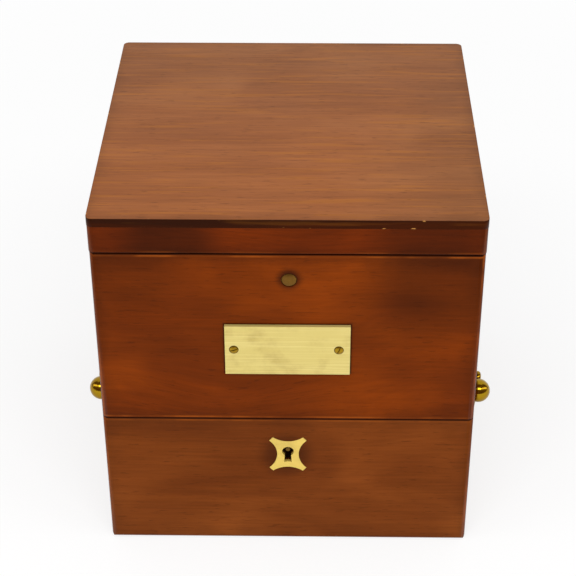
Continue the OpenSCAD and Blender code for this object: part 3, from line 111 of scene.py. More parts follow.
def make_camera():
    data = bpy.data.cameras.new("photo_camera")
    data.sensor_width = SENSOR_MM
    data.lens = FOCAL_PIXELS / IMAGE_PIXELS * SENSOR_MM
    data.clip_start = 0.01
    camera = bpy.data.objects.new("photo_camera", data)
    bpy.context.collection.objects.link(camera)
    turn = Matrix(camera_axes(CAMERA_YAW, CAMERA_PITCH, CAMERA_ROLL)).transposed()
    camera.matrix_world = Matrix.Translation(CAMERA_PLACE) @ turn.to_4x4()
    bpy.context.scene.camera = camera
    return camera


camera = make_camera()
print("lens", round(camera.data.lens, 1), "mm at", [round(v, 3) for v in camera.location])

# %% [markdown]
# ## Building node trees
#
# Every material is a graph of nodes, and so is the light of the world. A small helper adds a
# node, sets its options and joins its inputs in one call: an input is given a number, a
# colour, or the output of another node.

# %% Helper for node trees
FLOAT, VECTOR = "NodeSocketFloat", "NodeSocketVector"


class Graph:
    """Adds nodes to one tree and joins them as they are made."""

    def __init__(self, tree):
        self.tree = tree

    def feed(self, socket, value):
        """Join a socket to another node's output, or set it to a number or a colour."""
        if isinstance(value, bpy.types.NodeSocket):
            self.tree.links.new(value, socket)
        else:
            socket.default_value = value

    def add(self, kind, inputs=None, **options):
        node = self.tree.nodes.new("ShaderNode" + kind)
        for name, value in options.items():
            setattr(node, name, value)
        for name, value in (inputs or {}).items():
            self.feed(node.inputs[name], value)
        return node

    def group(self, tree, inputs):
        """A node that runs a node group. Returns its outputs."""
        return self.add("Group", inputs, node_tree=tree).outputs

    def math(self, operation, a, b=0.0, clamp=False):
        return self.add("Math", {0: a, 1: b}, operation=operation, use_clamp=clamp).outputs[0]

    def vector(self, operation, a, b=(0, 0, 0)):
        return self.add("VectorMath", {0: a, 1: b}, operation=operation).outputs["Vector"]

    def length(self, vector):
        return self.add("VectorMath", {0: vector}, operation="LENGTH").outputs["Value"]

    def point(self, x=0.0, y=0.0, z=0.0):
        return self.add("CombineXYZ", {0: x, 1: y, 2: z}).outputs[0]

    def axes(self, vector):
        return self.add("SeparateXYZ", {0: vector}).outputs

    def inverse(self, value):
        return self.math("SUBTRACT", 1.0, value)

    def span(self, value, low, high, to_low=0.0, to_high=1.0):
        """value, moved smoothly from low..high to to_low..to_high and held there."""
        sockets = {"Value": value, "From Min": low, "From Max": high,
                   "To Min": to_low, "To Max": to_high}
        return self.add("MapRange", sockets, interpolation_type="SMOOTHSTEP").outputs["Result"]

    def mix(self, share, a, b, blend="MIX"):
        node = self.add("Mix", {0: share, 6: a, 7: b}, data_type="RGBA", blend_type=blend)
        return node.outputs[2]

    def noise(self, place, scale, detail=2.0, rough=0.5, distort=0.0):
        """A cloudy pattern. Three scales, one for each axis, stretch it."""
        if isinstance(scale, tuple):
            place, scale = self.vector("MULTIPLY", place, scale), 1.0
        sockets = {"Vector": place, "Scale": scale, "Detail": detail, "Roughness": rough,
                   "Distortion": distort}
        return self.add("TexNoise", sockets).outputs["Fac"]


def new_group(name, inputs, outputs):
    """An empty shader node group. Returns it with its graph, its inputs and its end node."""
    tree = bpy.data.node_groups.new(name, "ShaderNodeTree")
    for socket_name, kind, default in inputs:
        socket = tree.interface.new_socket(socket_name, in_out="INPUT", socket_type=kind)
        if default is not None:
            socket.default_value = default
    for socket_name in outputs:
        tree.interface.new_socket(socket_name, in_out="OUTPUT", socket_type=FLOAT)
    start = tree.nodes.new("NodeGroupInput").outputs
    return tree, Graph(tree), start, tree.nodes.new("NodeGroupOutput").inputs


print("helpers ready")

# %% [markdown]
# ## Light and floor
#
# The photograph has a pure white background and soft light. The world is white to the
# camera, to reflections and through glass, and dimmer as a lamp, so that colours render
# about as they are written. A long strip lamp hangs above the camera, one more slopes down at
# each side, and a pale floor keeps the soft shadow under the box. The strips are the bright
# line that crosses each brass ball in the photograph, from edge to edge. A ball mirrors a lamp
# lower the further the lamp is round to the side, so the side strips have to come down.

# %% World and lamps
WORLD_LIGHT = 0.6
WHITE = (1, 1, 1, 1)
STRIP_SIZE = (1.5, 0.3)
STRIP_TARGET = (0, 0, 0.08)
FRONT_PLACE, FRONT_POWER = (0.0, -0.95, 1.2), 11.5
SIDE_PLACE, SIDE_SLOPE, SIDE_POWER = (1.28, -0.3, 0.76), (0.4, 0.74, -0.6), 4.0


def mirrored(point, side):
    """The point, or for side = -1 the same point on the left."""
    return (side * point[0], point[1], point[2])


def make_world():
    world = bpy.data.worlds.new("studio")
    bpy.context.scene.world = world
    world.use_nodes = True
    world.node_tree.nodes.clear()
    g = Graph(world.node_tree)
    path = g.add("LightPath").outputs
    seen = g.math("MAXIMUM", path["Is Camera Ray"], path["Is Glossy Ray"])
    seen = g.math("MAXIMUM", seen, path["Is Transmission Ray"])
    strength = g.span(seen, 0.0, 1.0, WORLD_LIGHT, 1.0)
    background = g.add("Background", {"Color": WHITE, "Strength": strength})
    g.add("OutputWorld", {"Surface": background.outputs[0]})


def area_lamp(name, place, target, along, size, power):
    """A rectangular lamp that faces its target, with its long side in the direction along."""
    data = bpy.data.lights.new(name, "AREA")
    data.shape = "RECTANGLE"
    data.size, data.size_y = size
    data.energy = power
    lamp = bpy.data.objects.new(name, data)
    bpy.context.collection.objects.link(lamp)
    lamp.location = place
    back = (Vector(place) - Vector(target)).normalized()
    up = back.cross(Vector(along)).normalized()
    lamp.rotation_euler = Matrix((up.cross(back), up, back)).transposed().to_euler()
    return lamp


make_world()
area_lamp("front_strip", FRONT_PLACE, STRIP_TARGET, (1, 0, 0), STRIP_SIZE, FRONT_POWER)
for side, name in ((-1, "left_strip"), (1, "right_strip")):
    area_lamp(name, mirrored(SIDE_PLACE, side), STRIP_TARGET, mirrored(SIDE_SLOPE, side),
              STRIP_SIZE, SIDE_POWER)
bpy.context.scene.view_settings.view_transform = "Standard"
print("lamps:", [lamp.name for lamp in bpy.data.lights])

# %% [markdown]
# Polished metal looks like metal because it mirrors both light and dark. The room round the
# camera was dark and brown, so a brown curtain hangs in front and at the sides, with a
# ceiling of the same cloth. Only reflections see it, so it takes no light from the object,
# and it glows a little, so that it has the same brown wherever the lamps stand.

# %% Dark curtain
CURTAIN_DISTANCE = 1.7
CURTAIN_FOOT, CURTAIN_TOP = 0.02, 2.6
CEILING_BACK = 0.3
CLOTH, CLOTH_GLOW = (0.02, 0.018, 0.016, 1), (0.16, 0.08, 0.05, 1)


def make_curtain():
    reach, low, high = CURTAIN_DISTANCE, CURTAIN_FOOT, CURTAIN_TOP
    front = [(-reach, -reach, low), (reach, -reach, low), (reach, -reach, high),
             (-reach, -reach, high)]
    left = [(-reach, -reach, low), (-reach, reach / 2, low), (-reach, reach / 2, high),
            (-reach, -reach, high)]
    right = [(-x, y, z) for x, y, z in left]
    ceiling = [(-reach, -reach, high), (reach, -reach, high), (reach, CEILING_BACK, high),
               (-reach, CEILING_BACK, high)]
    walls = [front, left, right, ceiling]
    mesh = bpy.data.meshes.new("dark_curtain")
    mesh.from_pydata([corner for wall in walls for corner in wall], [],
                     [tuple(range(4 * i, 4 * i + 4)) for i in range(len(walls))])
    material = bpy.data.materials.new("brown velvet")
    material.use_nodes = True
    shader = material.node_tree.nodes["Principled BSDF"]
    shader.inputs["Base Color"].default_value = CLOTH
    shader.inputs["Emission Color"].default_value = CLOTH_GLOW
    shader.inputs["Emission Strength"].default_value = 1.0
    shader.inputs["Roughness"].default_value = 1.0
    shader.inputs["Specular IOR Level"].default_value = 0.0
    mesh.materials.append(material)
    curtain = bpy.data.objects.new("dark_curtain", mesh)
    bpy.context.collection.objects.link(curtain)
    for ray in ("camera", "diffuse", "transmission", "shadow", "volume_scatter"):
        setattr(curtain, "visible_" + ray, False)
    return curtain


make_curtain()
print("curtain hung at", -CURTAIN_DISTANCE)

# %% [markdown]
# ## Edge distance, used by every board
#
# Old polished wood is darker towards its edges, where hands and polish have left dirt, and
# right on the arris it has a pale line, a painted highlight where the rounded edge catches the
# light. Both need to know how far a point is from the nearest edge of its board. Inside a box,
# take the distances to the two faces along X, along Y and along Z, and keep the smaller of
# each pair. On the surface one of the three is nought, and the middle one of the three is the
# distance to the edge.

# %% Edge distance group


def build_edge_distance():
    tree, g, start, end = new_group(
        "Edge distance",
        [("Position", VECTOR, None), ("Low corner", VECTOR, None), ("High corner", VECTOR, None)],
        ["Distance"],
    )
    low = g.vector("SUBTRACT", start["Position"], start["Low corner"])
    high = g.vector("SUBTRACT", start["High corner"], start["Position"])
    near = g.axes(g.vector("MINIMUM", low, high))
    smaller = g.math("MINIMUM", near[0], near[1])
    larger = g.math("MAXIMUM", near[0], near[1])
    g.feed(end["Distance"], g.math("MAXIMUM", smaller, g.math("MINIMUM", larger, near[2])))
    return tree


edge_distance = build_edge_distance()
print("group:", edge_distance.name)

# %% [markdown]
# ## Grain, used by all the mahogany
#
# A sawn board shows several things at once: soft bands about a centimetre high that run on
# along the board, cloudy patches of polish, the long lines of the yearly growth, fine
# fibres, and short dark pores. Each is a noise that is stretched along the grain. The group
# takes a position whose X runs along the grain, so that the same group serves boards that
# lie in any direction. A knot pushes the lines aside around its centre.

# %% Grain group
# Cells of noise in a metre: along the grain, across it and into the board.
BANDS, CLOUDS, DRIFT = (7, 75, 75), (16, 26, 26), (9, 22, 22)
FIBRES, PORES = (45, 1100, 1100), (190, 1500, 1500)
GROWTH_LINES, GROWTH_WANDER = 420.0, 26.0
KNOT_SHAPE, KNOT_REACH, KNOT_PUSH = (0.55, 1, 0.3), 2.2, 8 * MM


def build_grain():
    tree, g, start, end = new_group(
        "Grain",
        [("Along", VECTOR, None), ("Shift", FLOAT, 0.0), ("Knot", VECTOR, (9, 9, 9)),
         ("Knot size", FLOAT, 12 * MM)],
        ["Bands", "Clouds", "Lines", "Fibres", "Pores"],
    )
    away = g.vector("MULTIPLY", g.vector("SUBTRACT", start["Along"], start["Knot"]), KNOT_SHAPE)
    far = g.math("DIVIDE", g.length(away), start["Knot size"])
    push = g.point(y=g.span(far, 0.0, KNOT_REACH, KNOT_PUSH, 0.0))
    shift = g.point(start["Shift"], start["Shift"])
    place = g.vector("ADD", g.vector("ADD", start["Along"], shift), push)
    rows = g.math("MULTIPLY", g.axes(place)[1], GROWTH_LINES)
    wander = g.math("ADD", rows, g.math("MULTIPLY", g.noise(place, DRIFT), GROWTH_WANDER))
    lines = g.noise(g.point(wander), 1.0, rough=0.6)
    g.feed(end["Bands"], g.noise(place, BANDS, detail=3.0, rough=0.55, distort=0.6))
    g.feed(end["Clouds"], g.noise(place, CLOUDS, distort=0.4))
    g.feed(end["Lines"], g.span(lines, 0.3, 0.7))
    g.feed(end["Fibres"], g.noise(place, FIBRES, detail=3.0, rough=0.6))
    g.feed(end["Pores"], g.span(g.noise(place, PORES, detail=1.0), 0.63, 0.74))
    return tree


grain = build_grain()
print("group:", grain.name)

# %% [markdown]
# ## Materials and colours
#
# Every material starts with one shader and the graph that feeds it. Colours are written as
# they look on a screen, from 0 to 255, and turned into the linear colours that shaders use.
# The named ones are shared by all the woods: the dirt of many years, which also serves as
# painted shadow, a painted highlight for the arris, the lines that catch the light, the bare
# wood of a chip, and the warm shine of the shellac.

# %% Material helpers


def new_material(name):
    """A material with one shader. Returns it with its graph and the shader."""
    material = bpy.data.materials.new(name)
    material.use_nodes = True
    tree = material.node_tree
    tree.nodes.clear()
    g = Graph(tree)
    shader = g.add("BsdfPrincipled")
    g.add("OutputMaterial", {"Surface": shader.outputs[0]})
    return material, g, shader


def linear(red, green, blue):
    """A screen colour, 0 to 255, as the linear colour that shaders use."""
    return tuple(((v / 255 + 0.055) / 1.055) ** 2.4 if v > 10 else v / 255 / 12.92
                 for v in (red, green, blue)) + (1.0,)


# The dark colour is dirt, and also painted shadow in the spot round the catch button and in the
# screw slots. The pale orange one is a painted highlight where the arris catches the light.
DIRT_AND_SHADE, ARRIS_HIGHLIGHT, GOLDEN = linear(40, 12, 3), linear(168, 84, 22), linear(176, 106, 30)
CHIPPED = linear(190, 135, 70)
SHELLAC = (1.0, 0.6, 0.35, 1.0)
print("dirt is", [round(v, 4) for v in DIRT_AND_SHADE[:3]])

# %% [markdown]
# ## Layers of the wood
#
# The look of a board is built in layers, and each layer is a small function. The four boards
# of a tier take their grain along X at the front and back and along Y at the sides: a point
# belongs to a side board where its X is larger than its Y. On the bare wood come a darker tone
# for upright faces, the lines that catch the light, the dirt at the edges, a dark line round a
# fitting, dark spots, and a painted highlight on the arris. A level of one means a face that
# lies flat, and nought a face that stands upright.

# %% Layers of the wood
# Distances from the edge of a board between which each layer fades.
SEAM, FITTING_LINE, JOINT_RIM = (0.15 * MM, 0.5 * MM), (0.1 * MM, 1.1 * MM), (0.8 * MM, 3 * MM)
ARRIS_START, ARRIS_END = (0.4 * MM, 0.55 * MM), (0.7 * MM, 1.6 * MM)
CHIP_REACH = (0.25 * MM, 0.6 * MM)
FRONT_FACE = -HALF + 1 * MM
SPOT_CORE = 0.35


def along_grain(g, xyz):
    """The place, turned so that X runs along the grain of its own board."""
    front = g.point(xyz[0], xyz[2], xyz[1])
    side = g.point(xyz[1], xyz[2], xyz[0])
    on_side = g.math("GREATER_THAN", g.math("ABSOLUTE", xyz[0]), g.math("ABSOLUTE", xyz[1]))
    return g.add("Mix", {0: on_side, 4: front, 5: side}, data_type="VECTOR").outputs[1]


def bare_wood(g, wood, light, mid, dark):
    """Three tones of one wood, laid out by its bands, its clouds and its growth lines."""
    colour = g.mix(g.span(wood["Bands"], 0.28, 0.72), dark, mid)
    colour = g.mix(g.span(wood["Clouds"], 0.4, 0.75), colour, light)
    return g.mix(g.math("MULTIPLY", wood["Lines"], 0.28), colour, dark)


def end_grain(g, wood, level, colour, tone):
    """The narrow upright faces of a board, in a darker tone than its top, whose colours hold
    painted sheen.
    """
    upright = g.span(level, 0.35, 0.65, 1.0, 0.0)
    return g.mix(upright, colour, g.mix(g.span(wood["Bands"], 0.35, 0.65), DIRT_AND_SHADE, tone))


def fibres(g, wood, colour):
    """Fine light and dark fibres over the colour."""
    tone = g.span(wood["Fibres"], 0.2, 0.8, 0.86, 1.1)
    grey = g.add("CombineColor", {0: tone, 1: tone, 2: tone}).outputs[0]
    return g.mix(1.0, colour, grey, blend="MULTIPLY")


def golden_lines(g, place, level, colour, strength):
    """Fine lines that catch the light, most of all where the face lies flat."""
    lit = g.span(g.noise(place, (30, 500, 500)), 0.52, 0.7, 0.0, strength)
    share = g.math("MULTIPLY", lit, g.span(level, 0.35, 0.65, 0.35, 1.0))
    return g.mix(share, colour, GOLDEN)


def edge_dirt(g, place, distance, depth, width, seam_dirt):
    """How dark the dirt is: soft along the edges and dense right in the seam."""
    uneven = g.span(g.noise(place, 70.0, detail=3.0), 0.3, 0.7, 0.5, 1.6)
    reach = g.math("MULTIPLY", uneven, width)
    soft = g.inverse(g.math("DIVIDE", distance, reach, clamp=True))
    soft = g.math("MULTIPLY", g.math("POWER", soft, 1.6), depth)
    return g.math("MAXIMUM", soft, g.span(distance, *SEAM, seam_dirt, 0.0))


def dirt_round(g, xyz, node):
    """A dark line on the front board, close round the box of a fitting."""
    low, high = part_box(node)
    outside = []
    for axis in (0, 2):
        middle, half = (low[axis] + high[axis]) / 2, (high[axis] - low[axis]) / 2
        off_centre = g.math("ABSOLUTE", g.math("SUBTRACT", xyz[axis], middle))
        outside.append(g.math("SUBTRACT", off_centre, half))
    line = g.span(g.math("MAXIMUM", *outside), *FITTING_LINE, 0.85, 0.0)
    return g.math("MULTIPLY", line, g.math("LESS_THAN", xyz[1], FRONT_FACE))


def smudged(g, place, dirt_and_shade, centre, radius, strength):
    """The darkening so far, with one soft round dark spot added to it."""
    away = g.length(g.vector("SUBTRACT", place, centre))
    near = g.span(away, radius * SPOT_CORE, radius, strength, 0.0)
    return g.inverse(g.math("MULTIPLY", g.inverse(dirt_and_shade), g.inverse(near)))


def worn_arris(g, place, distance, arris_light):
    """A painted highlight close beside an edge, where the rounded arris catches the light, in
    uneven patches.
    """
    beside = g.math("MULTIPLY", g.span(distance, *ARRIS_START),
                    g.span(distance, *ARRIS_END, 1.0, 0.0))
    patches = g.span(g.noise(place, 60.0, detail=3.0), 0.45, 0.7, 0.2 * arris_light, arris_light)
    return g.math("MULTIPLY", beside, patches)


def chipped(g, place, distance, share):
    """Small chips right on the edge."""
    on_edge = g.span(distance, *CHIP_REACH, 1.0, 0.0)
    speckle = g.span(g.noise(place, (260, 260, 500)), 0.65, 0.7)
    return g.math("MULTIPLY", g.math("MULTIPLY", on_edge, speckle), share)


print("layers of the wood ready")

# %% [markdown]
# ## Mahogany
#
# One function lays these over one another for the boards of one tier, between its low and
# its high corner. Place and normal are both taken in the object's own axes, so that the
# pattern stays on the board when the lid swings open. The lid's top is a single board with
# its grain along X throughout, and only that one shows chips and golden lines.

# %% Mahogany material
FLAT_FACE = 0.7
WOOD_SHEEN = 0.08
POLISH = (0.29, 0.37)


def mahogany(name, low, high, light, mid, dark, shift, one_board=False, edge_dark=0.45,
             edge_width=9 * MM, seam_dirt=0.85, joint_faces=True, framed=None, dirt_and_shade_spots=(),
             knot=None, tint_by_place=None, arris_light=0.2, golden=0.0, chips=0.0, edge_tone=None):
    """Polished mahogany for the boards that fill the box from low to high."""
    material, g, shader = new_material(name)
    own = g.add("TexCoord").outputs
    place = own["Object"]
    xyz = g.axes(place)
    level = g.math("ABSOLUTE", g.axes(own["Normal"])[2])
    lying = g.math("GREATER_THAN", level, FLAT_FACE)
    settings = {"Along": place if one_board else along_grain(g, xyz), "Shift": shift}
    if knot:
        settings["Knot"] = knot
    wood = g.group(grain, settings)
    corners = {"Position": place, "Low corner": low, "High corner": high}
    distance = g.group(edge_distance, corners)["Distance"]

    colour = bare_wood(g, wood, light, mid, dark)
    if edge_tone:
        colour = end_grain(g, wood, level, colour, edge_tone)
    # A tint over part of the boards. On the lower case it is painted bounce light near the floor;
    # on the top board it only makes the wood darker towards the back and right.
    if tint_by_place:
        share, tint = tint_by_place
        colour = g.mix(share(g, xyz), colour, tint, blend="MULTIPLY")
    colour = fibres(g, wood, colour)
    if golden:
        colour = golden_lines(g, place, level, colour, golden)
    colour = g.mix(g.math("MULTIPLY", wood["Pores"], 0.3), colour, DIRT_AND_SHADE)

    dirt_and_shade = edge_dirt(g, place, distance, edge_dark, edge_width, seam_dirt)
    if joint_faces:
        rim = g.math("MULTIPLY", lying, g.span(distance, *JOINT_RIM, 0.95, 0.0))
        dirt_and_shade = g.math("MAXIMUM", dirt_and_shade, rim)
    if framed:
        dirt_and_shade = g.math("MAXIMUM", dirt_and_shade, dirt_round(g, xyz, framed))
    # Dark spots: finger dirt, and at the button also a painted shadow.
    for spot in dirt_and_shade_spots:
        dirt_and_shade = smudged(g, place, dirt_and_shade, *spot)
    colour = g.mix(dirt_and_shade, colour, DIRT_AND_SHADE)
    # A painted highlight along the arris, left off faces that lie flat.
    arris_lit = g.math("MULTIPLY", worn_arris(g, place, distance, arris_light), g.inverse(lying))
    colour = g.mix(arris_lit, colour, ARRIS_HIGHLIGHT)
    if chips:
        colour = g.mix(chipped(g, place, distance, chips), colour, CHIPPED)

    g.feed(shader.inputs["Base Color"], colour)
    polish = g.noise(place, (30, 90, 90), detail=3.0)
    g.feed(shader.inputs["Roughness"], g.span(polish, 0.3, 0.7, *POLISH))
    bump = g.add("Bump", {"Strength": 0.1, "Distance": 0.04 * MM, "Height": wood["Fibres"]})
    g.feed(shader.inputs["Normal"], bump.outputs[0])
    shader.inputs["Specular IOR Level"].default_value = WOOD_SHEEN
    shader.inputs["Specular Tint"].default_value = SHELLAC
    return material


def towards_back_right(g, xyz):
    back = g.span(xyz[1], -HALF * 0.6, HALF, 0.0, 0.95)
    return g.math("MAXIMUM", back, g.span(xyz[0], 10 * MM, HALF))


# Painted light: the lower case paler near the floor, for the light the floor throws back up.
def towards_floor(g, xyz):
    return g.span(xyz[2], 0.0, 45 * MM, 1.0, 0.0)


print("mahogany ready")

# %% [markdown]
# ## The woods of the box
#
# Each tier was cut from another board, so each has its own three tones: light, middle and
# dark. A shift moves it to another stretch of the grain. Dark spots lie round the keyhole,
# where fingers leave dirt, and round the button, where finger dirt meets a painted shadow of
# its recess. Softer dark patches lie towards the upper corners and the right of the middle
# tier, and at both ends of the lid's front. The lower case is painted paler near the floor,
# for the light thrown up from it, and the top board is darker towards its back and right.

# %% Woods of the box
KEY_SMUDGE = ((-0.5 * MM, -HALF, 46.3 * MM), 14 * MM, 0.6)
# Round the button: finger dirt, and a painted shadow where the hole's upper edge shades the sunk
# button.
BUTTON_DIRT_AND_SHADOW = ((0.65 * MM, -HALF, 132.9 * MM), 6.2 * MM, 0.9)
# Darker patches on the middle tier's front, towards its upper corners and its right.
CORNER_DARK_PATCHES = [((-62 * MM, -HALF, 141 * MM), 34 * MM, 0.35),
                  ((60 * MM, -HALF, 139 * MM), 40 * MM, 0.5),
                  ((40 * MM, -HALF, 112 * MM), 30 * MM, 0.18)]
# Darker patches at both ends of the lid's front.
LID_DARK_PATCHES = [((-44 * MM, -HALF, 151 * MM), 24 * MM, 0.6),
               ((52 * MM, -HALF, 150 * MM), 28 * MM, 0.4)]
KNOT = (-24 * MM, 76 * MM, -HALF)
# The first tint is painted bounce light, paler near the floor. The second makes the top board
# darker towards its back and right.
FLOOR_BOUNCE_TINT, DULLER = (1.18, 1.27, 1.4, 1), (0.8, 0.86, 0.9, 1)
lower_wood = mahogany(
    "lower case mahogany", (-HALF, -HALF, 0), (HALF, HALF, LOWER_TOP),
    linear(128, 64, 20), linear(114, 55, 15), linear(96, 43, 10), 0.31,
    edge_dark=0.3, tint_by_place=(towards_floor, FLOOR_BOUNCE_TINT), arris_light=0.4, dirt_and_shade_spots=[KEY_SMUDGE])
middle_wood = mahogany(
    "middle tier mahogany", (-HALF, -HALF, MIDDLE[0]), (HALF, HALF, MIDDLE[1]),
    linear(130, 54, 4), linear(117, 46, 3), linear(94, 36, 4), 1.7,
    framed="front_plate", arris_light=0.6, dirt_and_shade_spots=[BUTTON_DIRT_AND_SHADOW] + CORNER_DARK_PATCHES, knot=KNOT)
lid_wood = mahogany(
    "lid frame mahogany", (-HALF, -HALF, LID[0]), (HALF, HALF, LID[1]),
    linear(110, 40, 3), linear(93, 32, 3), linear(68, 22, 3), 2.9,
    edge_width=4 * MM, dirt_and_shade_spots=LID_DARK_PATCHES)
# The top board's tones are paler than the front's: partly the board's own colour, partly painted
# sheen, the light that its satin top reflects.
top_wood = mahogany(
    "top board mahogany", (-TOP_BOARD_HALF, -TOP_BOARD_HALF, TOP_BOARD_Z),
    (TOP_BOARD_HALF, HALF, LID[1]),
    linear(165, 101, 56), linear(155, 92, 49), linear(139, 80, 42), 4.3,
    one_board=True, joint_faces=False, edge_width=6 * MM, edge_dark=0.22, seam_dirt=0.3,
    tint_by_place=(towards_back_right, DULLER), arris_light=0.0, golden=0.3, chips=0.8,
    edge_tone=linear(68, 22, 1))
inner_wood = mahogany(
    "inner mahogany", (-HALF, -HALF, -1), (HALF, HALF, 1),
    linear(132, 70, 26), linear(119, 59, 20), linear(102, 48, 14), 5.5,
    one_board=True, joint_faces=False, edge_dark=0.2)
print("woods:", [m.name for m in (lower_wood, middle_wood, lid_wood, top_wood, inner_wood)])

# %% [markdown]
# ## Metal surface, used by all brass and steel
#
# Metal shows how it was worked and used: a brushed plate has parallel lines, and everything
# that was handled has stains and small specks. The group gives all three as masks, from the
# same noise that the wood uses.

# %% Metal surface group
STAINS, SPECKS = 90.0, 900.0


def build_metal_surface():
    tree, g, start, end = new_group(
        "Metal surface",
        [("Position", VECTOR, None), ("Line scale", VECTOR, (100, 3000, 3000))],
        ["Lines", "Stain", "Specks"],
    )
    place = start["Position"]
    stain = g.noise(place, STAINS, detail=4.0, rough=0.6)
    g.feed(end["Lines"], g.noise(g.vector("MULTIPLY", place, start["Line scale"]), 1.0))
    g.feed(end["Stain"], g.span(stain, 0.45, 0.75))
    g.feed(end["Specks"], g.span(g.noise(place, SPECKS), 0.66, 0.78))
    return tree


metal_surface = build_metal_surface()
print("group:", metal_surface.name)

# %% [markdown]
# ## Brass and steel
#
# Each metal has a clean colour, a stained one and a roughness. The line scale says how many
# tool lines there are in a metre along each axis: a plate that was brushed along X has few
# along X and many across. The plate's brushed lines are lightened in places as painted
# highlights. The plate and the escutcheon have lost their shine, so they are only half
# metallic. The plate's screws have dirt and a painted shadow in their slots, which are sunk
# behind its face.

# %% Metal materials
TOOL_LINE_DEPTH = 0.01 * MM
SLOT_DEPTH, SLOT_DARK_RAMP = 0.18 * MM, 0.08 * MM
PLATE_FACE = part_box("front_plate")[0][1]


def metal(name, clean, stained, rough, line_scale=(3000, 3000, 3000), stain=0.5,
          metallic=1.0, spread=0.1, specks=0.3, highlight_streak=None, dirt_and_shade_y=None):
    """A metal with stains, specks and tool lines. A bright colour, when given, lightens some lines
    as a painted highlight, and dirt and a painted shadow darken what is sunk behind a given
    depth in Y."""
    material, g, shader = new_material(name)
    place = g.add("TexCoord").outputs["Object"]
    surface = g.group(metal_surface, {"Position": place, "Line scale": line_scale})
    dull = g.math("MULTIPLY", surface["Stain"], stain)
    colour = g.mix(dull, clean, stained)
    colour = g.mix(g.math("MULTIPLY", surface["Specks"], specks), colour, stained)
    if highlight_streak:
        colour = g.mix(g.span(surface["Lines"], 0.4, 0.8, 0.0, 0.5), colour, highlight_streak)
    # Dirt and painted shadow in what is sunk, such as the screw slots.
    if dirt_and_shade_y:
        sunk = g.span(g.axes(place)[1], dirt_and_shade_y, dirt_and_shade_y + SLOT_DARK_RAMP, 0.0, 0.85)
        colour = g.mix(sunk, colour, DIRT_AND_SHADE)
    uneven = g.math("ADD", g.math("MULTIPLY", surface["Lines"], spread), rough)
    g.feed(shader.inputs["Base Color"], colour)
    g.feed(shader.inputs["Roughness"], g.math("ADD", uneven, g.math("MULTIPLY", dull, 0.15)))
    shader.inputs["Metallic"].default_value = metallic
    bump = g.add("Bump", {"Strength": 0.25, "Distance": TOOL_LINE_DEPTH,
                          "Height": surface["Lines"]})
    g.feed(shader.inputs["Normal"], bump.outputs[0])
    return material


polished_brass = metal("polished brass", linear(206, 166, 44), linear(128, 88, 18), 0.1,
                       stain=0.3)
handle_brass = metal("old handle brass", linear(164, 130, 26), linear(112, 80, 14), 0.12,
                     stain=0.4)
worked_brass = metal("worked brass", linear(206, 168, 78), linear(130, 92, 36), 0.24)
# The pale plate's brighter lines are painted highlights along the brushing.
pale_brass = metal("brushed pale brass", linear(216, 197, 116), linear(176, 150, 78), 0.36,
                   line_scale=(40, 2100, 2100), metallic=0.5, spread=0.25, specks=0.15,
                   highlight_streak=linear(240, 226, 154))
key_brass = metal("pale escutcheon brass", linear(230, 200, 98), linear(186, 160, 82), 0.36,
                  stain=0.4, metallic=0.5)
screw_brass = metal("screw brass", linear(164, 130, 34), linear(104, 76, 22), 0.28,
                    line_scale=(2600, 900, 900), dirt_and_shade_y=PLATE_FACE - SLOT_DEPTH)
dull_brass = metal("tarnished brass", linear(112, 80, 33), linear(66, 44, 18), 0.24,
                   stain=0.7, line_scale=(900, 900, 2600))
# The lock case is tarnished brass, made darker still as painted shadow for its drill pin, which
# sits deep behind the keyhole.
tarnished_shaded_lock_brass = metal("old lock brass", linear(132, 102, 48), linear(70, 50, 24), 0.3, stain=0.6)
gilt_brass = metal("frosted gilt brass", linear(232, 196, 116), linear(200, 160, 86), 0.5,
                   stain=0.2)
bright_steel = metal("bright steel", linear(196, 198, 202), linear(120, 116, 110), 0.22,
                     stain=0.3)
blued_steel = metal("blued steel", linear(30, 44, 110), linear(20, 22, 60), 0.25, stain=0.3)
print("metals:", len([m for m in bpy.data.materials if "brass" in m.name or "steel" in m.name]))

# %% [markdown]
# ## Glass and the silvered dial
#
# Glass is a plain shader that lets light through, with a faint smear in its roughness. The
# silvering of a dial is rubbed on in circles, so its lines follow the distance from the
# centre: a noise along the radius gives rings of lower and higher sheen.

# %% Glass and dial materials
RINGS_PER_METRE = 5200.0


def clear_glass(name):
    material, g, shader = new_material(name)
    shader.inputs["Base Color"].default_value = (0.96, 0.98, 0.98, 1)
    shader.inputs["Transmission Weight"].default_value = 1.0
    shader.inputs["IOR"].default_value = 1.45
    smear = g.noise(g.add("TexCoord").outputs["Object"], 40.0, detail=3.0)
    g.feed(shader.inputs["Roughness"], g.span(smear, 0.5, 0.8, 0.0, 0.04))
    return material


def silvered(name):
    material, g, shader = new_material(name)
    place = g.add("TexCoord").outputs["Object"]
    radius = g.length(g.vector("MULTIPLY", place, (1, 1, 0)))
    rings = g.noise(g.point(g.math("MULTIPLY", radius, RINGS_PER_METRE)), 1.0)
    patina = g.span(g.noise(place, 60.0, detail=4.0), 0.4, 0.8)
    colour = g.mix(patina, linear(226, 225, 216), linear(204, 200, 184))
    g.feed(shader.inputs["Base Color"], colour)
    g.feed(shader.inputs["Roughness"], g.span(rings, 0.3, 0.7, 0.38, 0.52))
    shader.inputs["Metallic"].default_value = 0.35
    return material


window_glass = clear_glass("clear glass")
dial_silver = silvered("silvered dial")
print("glass and dial ready")

# %% [markdown]
# ## Dressing the solids
#
# The exact solids already have the right shape, so they stay and only get their finish.
# One table says which finish each node takes.

